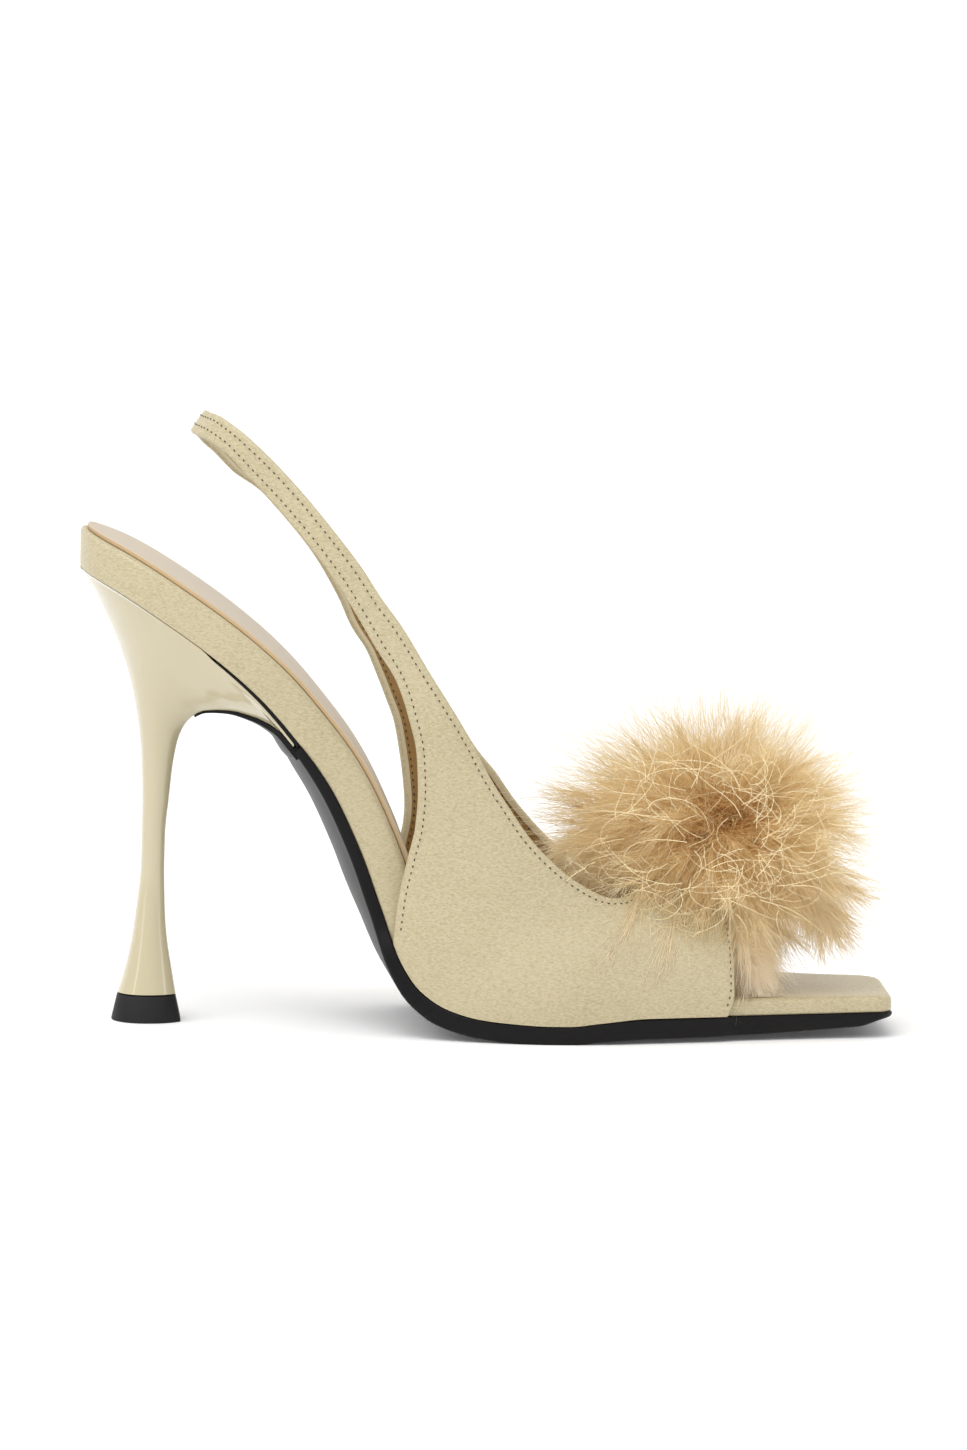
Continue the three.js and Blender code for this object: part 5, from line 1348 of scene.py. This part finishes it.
class SANDAL_OT_outsole(bpy.types.Operator):
    """Makes the outsole with the strip over the heel's lip and the flap down its breast"""

    bl_idname = "sandal.outsole"
    bl_label = "Outsole"

    def execute(self, context):
        lip = LIP_ARC * ARC
        build = Build()
        levels = rounded(
            lambda s: -FIT_GAP - outsole_thickness(s), lambda s: np.full_like(s, -SEAM), SOLE_ROUND, 0.25,
            outsole_crown,
        )
        sole = plate(lip + OUTSOLE_JOINT, ARC, levels, normal_direction, spread=outsole_spread)
        sole[..., 2] = np.maximum(sole[..., 2], 0)
        build.grid(sole, wrap_v=True)
        levels = rounded(
            lambda s: -FIT_GAP - wedge_at(s / ARC), lambda s: np.full_like(s, -SEAM), 0.1, 0.1
        )
        build.grid(
            plate(WEDGE_START * ARC, lip + OUTSOLE_JOINT + 1, levels, normal_direction, margin=WEDGE_INSET),
            wrap_v=True,
        )
        low = -2 * FIT_GAP - LIP_EDGE - FLAP_THICKNESS
        crown = float(NOSE_CROWN * outsole_crown(lip))
        levels = rounded(
            lambda s: np.full_like(s, low), lambda s: np.full_like(s, -SEAM), 0.3, 0.1,
            lambda s: np.full_like(s, crown),
        )
        nose = plate(lip + NOSE_START, lip + NOSE_END, levels, normal_direction, margin=WEDGE_INSET)
        build.grid(nose, wrap_v=True)
        build.grid(flap_rings(), wrap_v=True)
        colours = context.scene.sandal_colours
        piece = build.finish("sole", [burnished_sole(colours.sole)], smooth_angle=40, weld=0.01)
        settle(piece, "sole_leather", "outsole")
        return {"FINISHED"}


class SANDAL_OT_footbed(bpy.types.Operator):
    """Makes the satin-wrapped footbed"""

    bl_idname = "sandal.footbed"
    bl_label = "Footbed"

    def execute(self, context):
        build = Build()
        levels = rounded(lambda s: np.zeros_like(s), footbed_thickness, 0.45, 1.5)
        build.grid(plate(0, ARC, levels, footbed_direction), wrap_v=True)
        colours = context.scene.sandal_colours
        satin = duchess_satin(colours.satin, colours.satin_shade)
        piece = build.finish("wrapped_footbed", [satin], smooth_angle=60, weld=0.01)
        settle(piece, "satin", "footbed")
        return {"FINISHED"}


class SANDAL_OT_insole(bpy.types.Operator):
    """Makes the sock that is glued on the footbed"""

    bl_idname = "sandal.insole"
    bl_label = "Insole"

    def execute(self, context):
        def low(s):
            return footbed_thickness(s) + SEAM

        def high(s):
            return footbed_thickness(s) + FIT_GAP + INSOLE_THICKNESS

        levels = rounded(low, high, 0.1, 0.35)
        rings = plate(INSOLE_MARGIN, INSOLE_END * ARC, levels, footbed_direction, margin=INSOLE_MARGIN)
        build = Build()
        slots = np.zeros(len(levels) - 1, int)
        slots[SOCK_EDGE] = 1
        build.grid(rings, wrap_v=True, slot=slots[:, None])
        colours = context.scene.sandal_colours
        edge = plain("cut leather edge", hex_rgb("#C4A87E"), 0.55)
        piece = build.finish("sock", [sock_leather(colours.sock), edge], smooth_angle=50, weld=0.01)
        settle(piece, "insole_leather", "insole")
        return {"FINISHED"}


class SANDAL_OT_upper(bpy.types.Operator):
    """Makes the satin vamp, quarters and strap with their lining"""

    bl_idname = "sandal.upper"
    bl_label = "Upper"

    def execute(self, context):
        section, slots, uv = upper_sections()
        build = Build()
        build.grid(section, wrap_u=True, wrap_v=True, slot=slots[None, :], uv=uv, flip=True)
        colours = context.scene.sandal_colours
        satin = duchess_satin(colours.satin, colours.satin_shade)
        lining = lining_leather(colours.lining, colours.satin)
        piece = build.finish("upper_shell", [satin, lining], smooth_angle=60)
        settle(piece, "satin", "upper")
        return {"FINISHED"}


class SANDAL_OT_stitching(bpy.types.Operator):
    """Makes the stitches along the upper's edges, outside and inside"""

    bl_idname = "sandal.stitching"
    bl_label = "Stitching"

    def execute(self, context):
        sizes = context.scene.sandal_sizes
        pitch, length, thick = (
            value / MM for value in (sizes.stitch_pitch, sizes.stitch_length, sizes.thread_thickness)
        )
        build = Build()
        for at, side, share in stitch_lines():
            for inside in (False, True):
                rows, radii = stitch_row(at, side, share, pitch, length, thick, inside)
                verts, tris = tubes(rows, radii, THREAD_SIDES)
                build.faces(verts.reshape(-1, 3), tris)
        thread = plain("waxed thread", context.scene.sandal_colours.thread, 0.6)
        settle(build.finish("stitches", [thread]), "satin")
        return {"FINISHED"}


class SANDAL_OT_pompom(bpy.types.Operator):
    """Makes the marabou pompom of plumes, wisps and curled quills"""

    bl_idname = "sandal.pompom"
    bl_label = "Pompom"

    def execute(self, context):
        sizes, colours = context.scene.sandal_sizes, context.scene.sandal_colours
        rng = np.random.default_rng(sizes.seed)
        down = marabou(colours.feather, BARB_PALENESS)
        sets = (
            ball_plumes(rng, sizes.plume_count, sizes.barb_count),
            hanging_plumes(rng, sizes.plume_count // 7, sizes.barb_count),
            tuft(rng, sizes.plume_count // 14, sizes.barb_count, *FRONT_TUFT),
            tuft(rng, sizes.plume_count // 14, sizes.barb_count, *BACK_TUFT),
        )
        paths, radii, tone = (np.concatenate(part) for part in zip(*sets))
        order = rng.permutation(len(paths))
        for i, part in enumerate(np.array_split(order, PLUME_PIECES)):
            batch = (paths[part], radii[part], tone[part])
            piece = feather_piece(f"plumes_{i + 1}", batch, BARB_SIDES, [down])
            settle(piece, "marabou", *(["pompom"] if i == 0 else []))
        settle(feather_piece("wisps", wisps(rng, sizes.wisp_count), BARB_SIDES, [down]), "marabou")
        quill = plain("bare quill", hex_rgb("#F4E3B9"), 0.45)
        bare = feather_piece("quills", quills(rng, sizes.quill_count), QUILL_SIDES, [quill])
        settle(bare, "marabou")
        return {"FINISHED"}


# The photograph's view, as fitted to the shoe
VIEW_AZIMUTH = math.radians(-3.0)
VIEW_ELEVATION = math.radians(6.5)
VIEW_ROLL = math.radians(1.1)
VIEW_TARGET = Vector((81.1, 0.0, 73.2)) * MM
VIEW_DISTANCE = 2.0
FILM_HEIGHT = 36.0
FOCAL_LENGTH = 203.98

SWEEP_START = 1200.0
SWEEP_RADIUS = 900.0


def add_camera(scene):
    back = Vector((
        math.sin(VIEW_AZIMUTH) * math.cos(VIEW_ELEVATION),
        -math.cos(VIEW_AZIMUTH) * math.cos(VIEW_ELEVATION),
        math.sin(VIEW_ELEVATION),
    ))
    right = (-back).cross(Vector((0, 0, 1))).normalized()
    up = back.cross(right)
    turned_right = right * math.cos(VIEW_ROLL) + up * math.sin(VIEW_ROLL)
    turned_up = up * math.cos(VIEW_ROLL) - right * math.sin(VIEW_ROLL)
    data = bpy.data.cameras.new("studio camera")
    data.sensor_fit, data.sensor_height, data.lens = "VERTICAL", FILM_HEIGHT, FOCAL_LENGTH
    camera = bpy.data.objects.new("studio camera", data)
    camera.matrix_world = Matrix.Translation(VIEW_TARGET + back * VIEW_DISTANCE) @ Matrix(
        (turned_right, turned_up, back)
    ).transposed().to_4x4()
    scene.collection.objects.link(camera)
    scene.camera = camera


def add_softbox(scene, name, place, target, width, height, power):
    """An area light at place that faces target."""
    data = bpy.data.lights.new(name, "AREA")
    data.shape, data.size, data.size_y, data.energy = "RECTANGLE", width, height, power
    light = bpy.data.objects.new(name, data)
    light.location = place
    light.rotation_euler = (Vector(target) - Vector(place)).to_track_quat("-Z", "Y").to_euler()
    scene.collection.objects.link(light)


def add_skylight(scene, toward, strength):
    """A broad soft light from one direction, which keeps the floor even all the way back."""
    data = bpy.data.lights.new("diffused ceiling light", "SUN")
    data.energy, data.angle = strength, math.radians(70)
    light = bpy.data.objects.new("diffused ceiling light", data)
    light.rotation_euler = Vector(toward).to_track_quat("Z", "Y").to_euler()
    scene.collection.objects.link(light)


class SANDAL_OT_stage(bpy.types.Operator):
    """Makes the studio: floor, surround, softboxes and camera"""

    bl_idname = "sandal.stage"
    bl_label = "Studio"

    def execute(self, context):
        scene, stage = context.scene, context.scene.sandal_stage
        turn = np.linspace(0, np.pi / 2, 25)
        y = np.concatenate([[-4000], SWEEP_START + SWEEP_RADIUS * np.sin(turn), [SWEEP_START + SWEEP_RADIUS]])
        z = np.concatenate([[0], SWEEP_RADIUS * (1 - np.cos(turn)), [4000]])
        floor = Build()
        floor.grid(points(np.array([[-6000.0], [6000.0]]), y[None], z[None]))
        paint, _, shader = new_material("white sweep", Base_Color=stage.floor, Roughness=0.9)
        shader.inputs["Emission Color"].default_value = (1, 1, 1, 1)
        shader.inputs["Emission Strength"].default_value = stage.floor_glow
        floor.finish("studio_floor", [paint])
        world = bpy.data.worlds.new("studio surround")
        world.use_nodes = True
        surround = world.node_tree.nodes["Background"]
        surround.inputs[0].default_value = (1, 1, 1, 1)
        surround.inputs[1].default_value = stage.world_strength
        scene.world = world
        scene.view_settings.view_transform = "Standard"
        middle = (0.08, 0, 0.06)
        add_skylight(scene, (-0.35, -0.5, 1.0), stage.sky_strength)
        add_softbox(scene, "overhead softbox", (-0.1, -0.6, 1.1), middle, 0.55, 0.4, stage.key_power)
        add_softbox(scene, "left strip light", (-1.1, -0.9, 0.5), middle, 0.16, 1.1, stage.key_power * 0.6)
        add_softbox(scene, "right strip light", (1.2, -0.7, 0.5), middle, 0.16, 1.1, stage.key_power * 0.4)
        add_camera(scene)
        return {"FINISHED"}


class SANDAL_PT_panel(bpy.types.Panel):
    """Lists the sandal's pieces and settings"""

    bl_idname = "SANDAL_PT_panel"
    bl_label = "Slingback sandal"
    bl_space_type = "VIEW_3D"
    bl_region_type = "UI"
    bl_category = "Sandal"

    def draw(self, context):
        layout, scene = self.layout, context.scene
        for operator in OPERATORS:
            layout.operator(operator.bl_idname)
        for group in (scene.sandal_sizes, scene.sandal_colours, scene.sandal_stage):
            box = layout.box()
            for key in group.__annotations__:
                box.prop(group, key)


SETTINGS = {"sandal_sizes": SandalSizes, "sandal_colours": SandalColours, "sandal_stage": SandalStage}
OPERATORS = [
    SANDAL_OT_heel, SANDAL_OT_heel_tip, SANDAL_OT_outsole, SANDAL_OT_footbed, SANDAL_OT_insole,
    SANDAL_OT_upper, SANDAL_OT_stitching, SANDAL_OT_pompom, SANDAL_OT_stage,
]


def register():
    for made in (*SETTINGS.values(), *OPERATORS, SANDAL_PT_panel):
        bpy.utils.register_class(made)
    for key, group in SETTINGS.items():
        setattr(bpy.types.Scene, key, PointerProperty(type=group))


def unregister():
    for key in SETTINGS:
        delattr(bpy.types.Scene, key)
    for made in (SANDAL_PT_panel, *reversed(OPERATORS), *reversed(SETTINGS.values())):
        bpy.utils.unregister_class(made)


def main():
    register()
    bpy.ops.sandal.stage()
    bpy.ops.sandal.heel()
    bpy.ops.sandal.heel_tip()
    bpy.ops.sandal.outsole()
    bpy.ops.sandal.footbed()
    bpy.ops.sandal.insole()
    bpy.ops.sandal.upper()
    bpy.ops.sandal.stitching()
    bpy.ops.sandal.pompom()


if __name__ == "__main__":
    main()
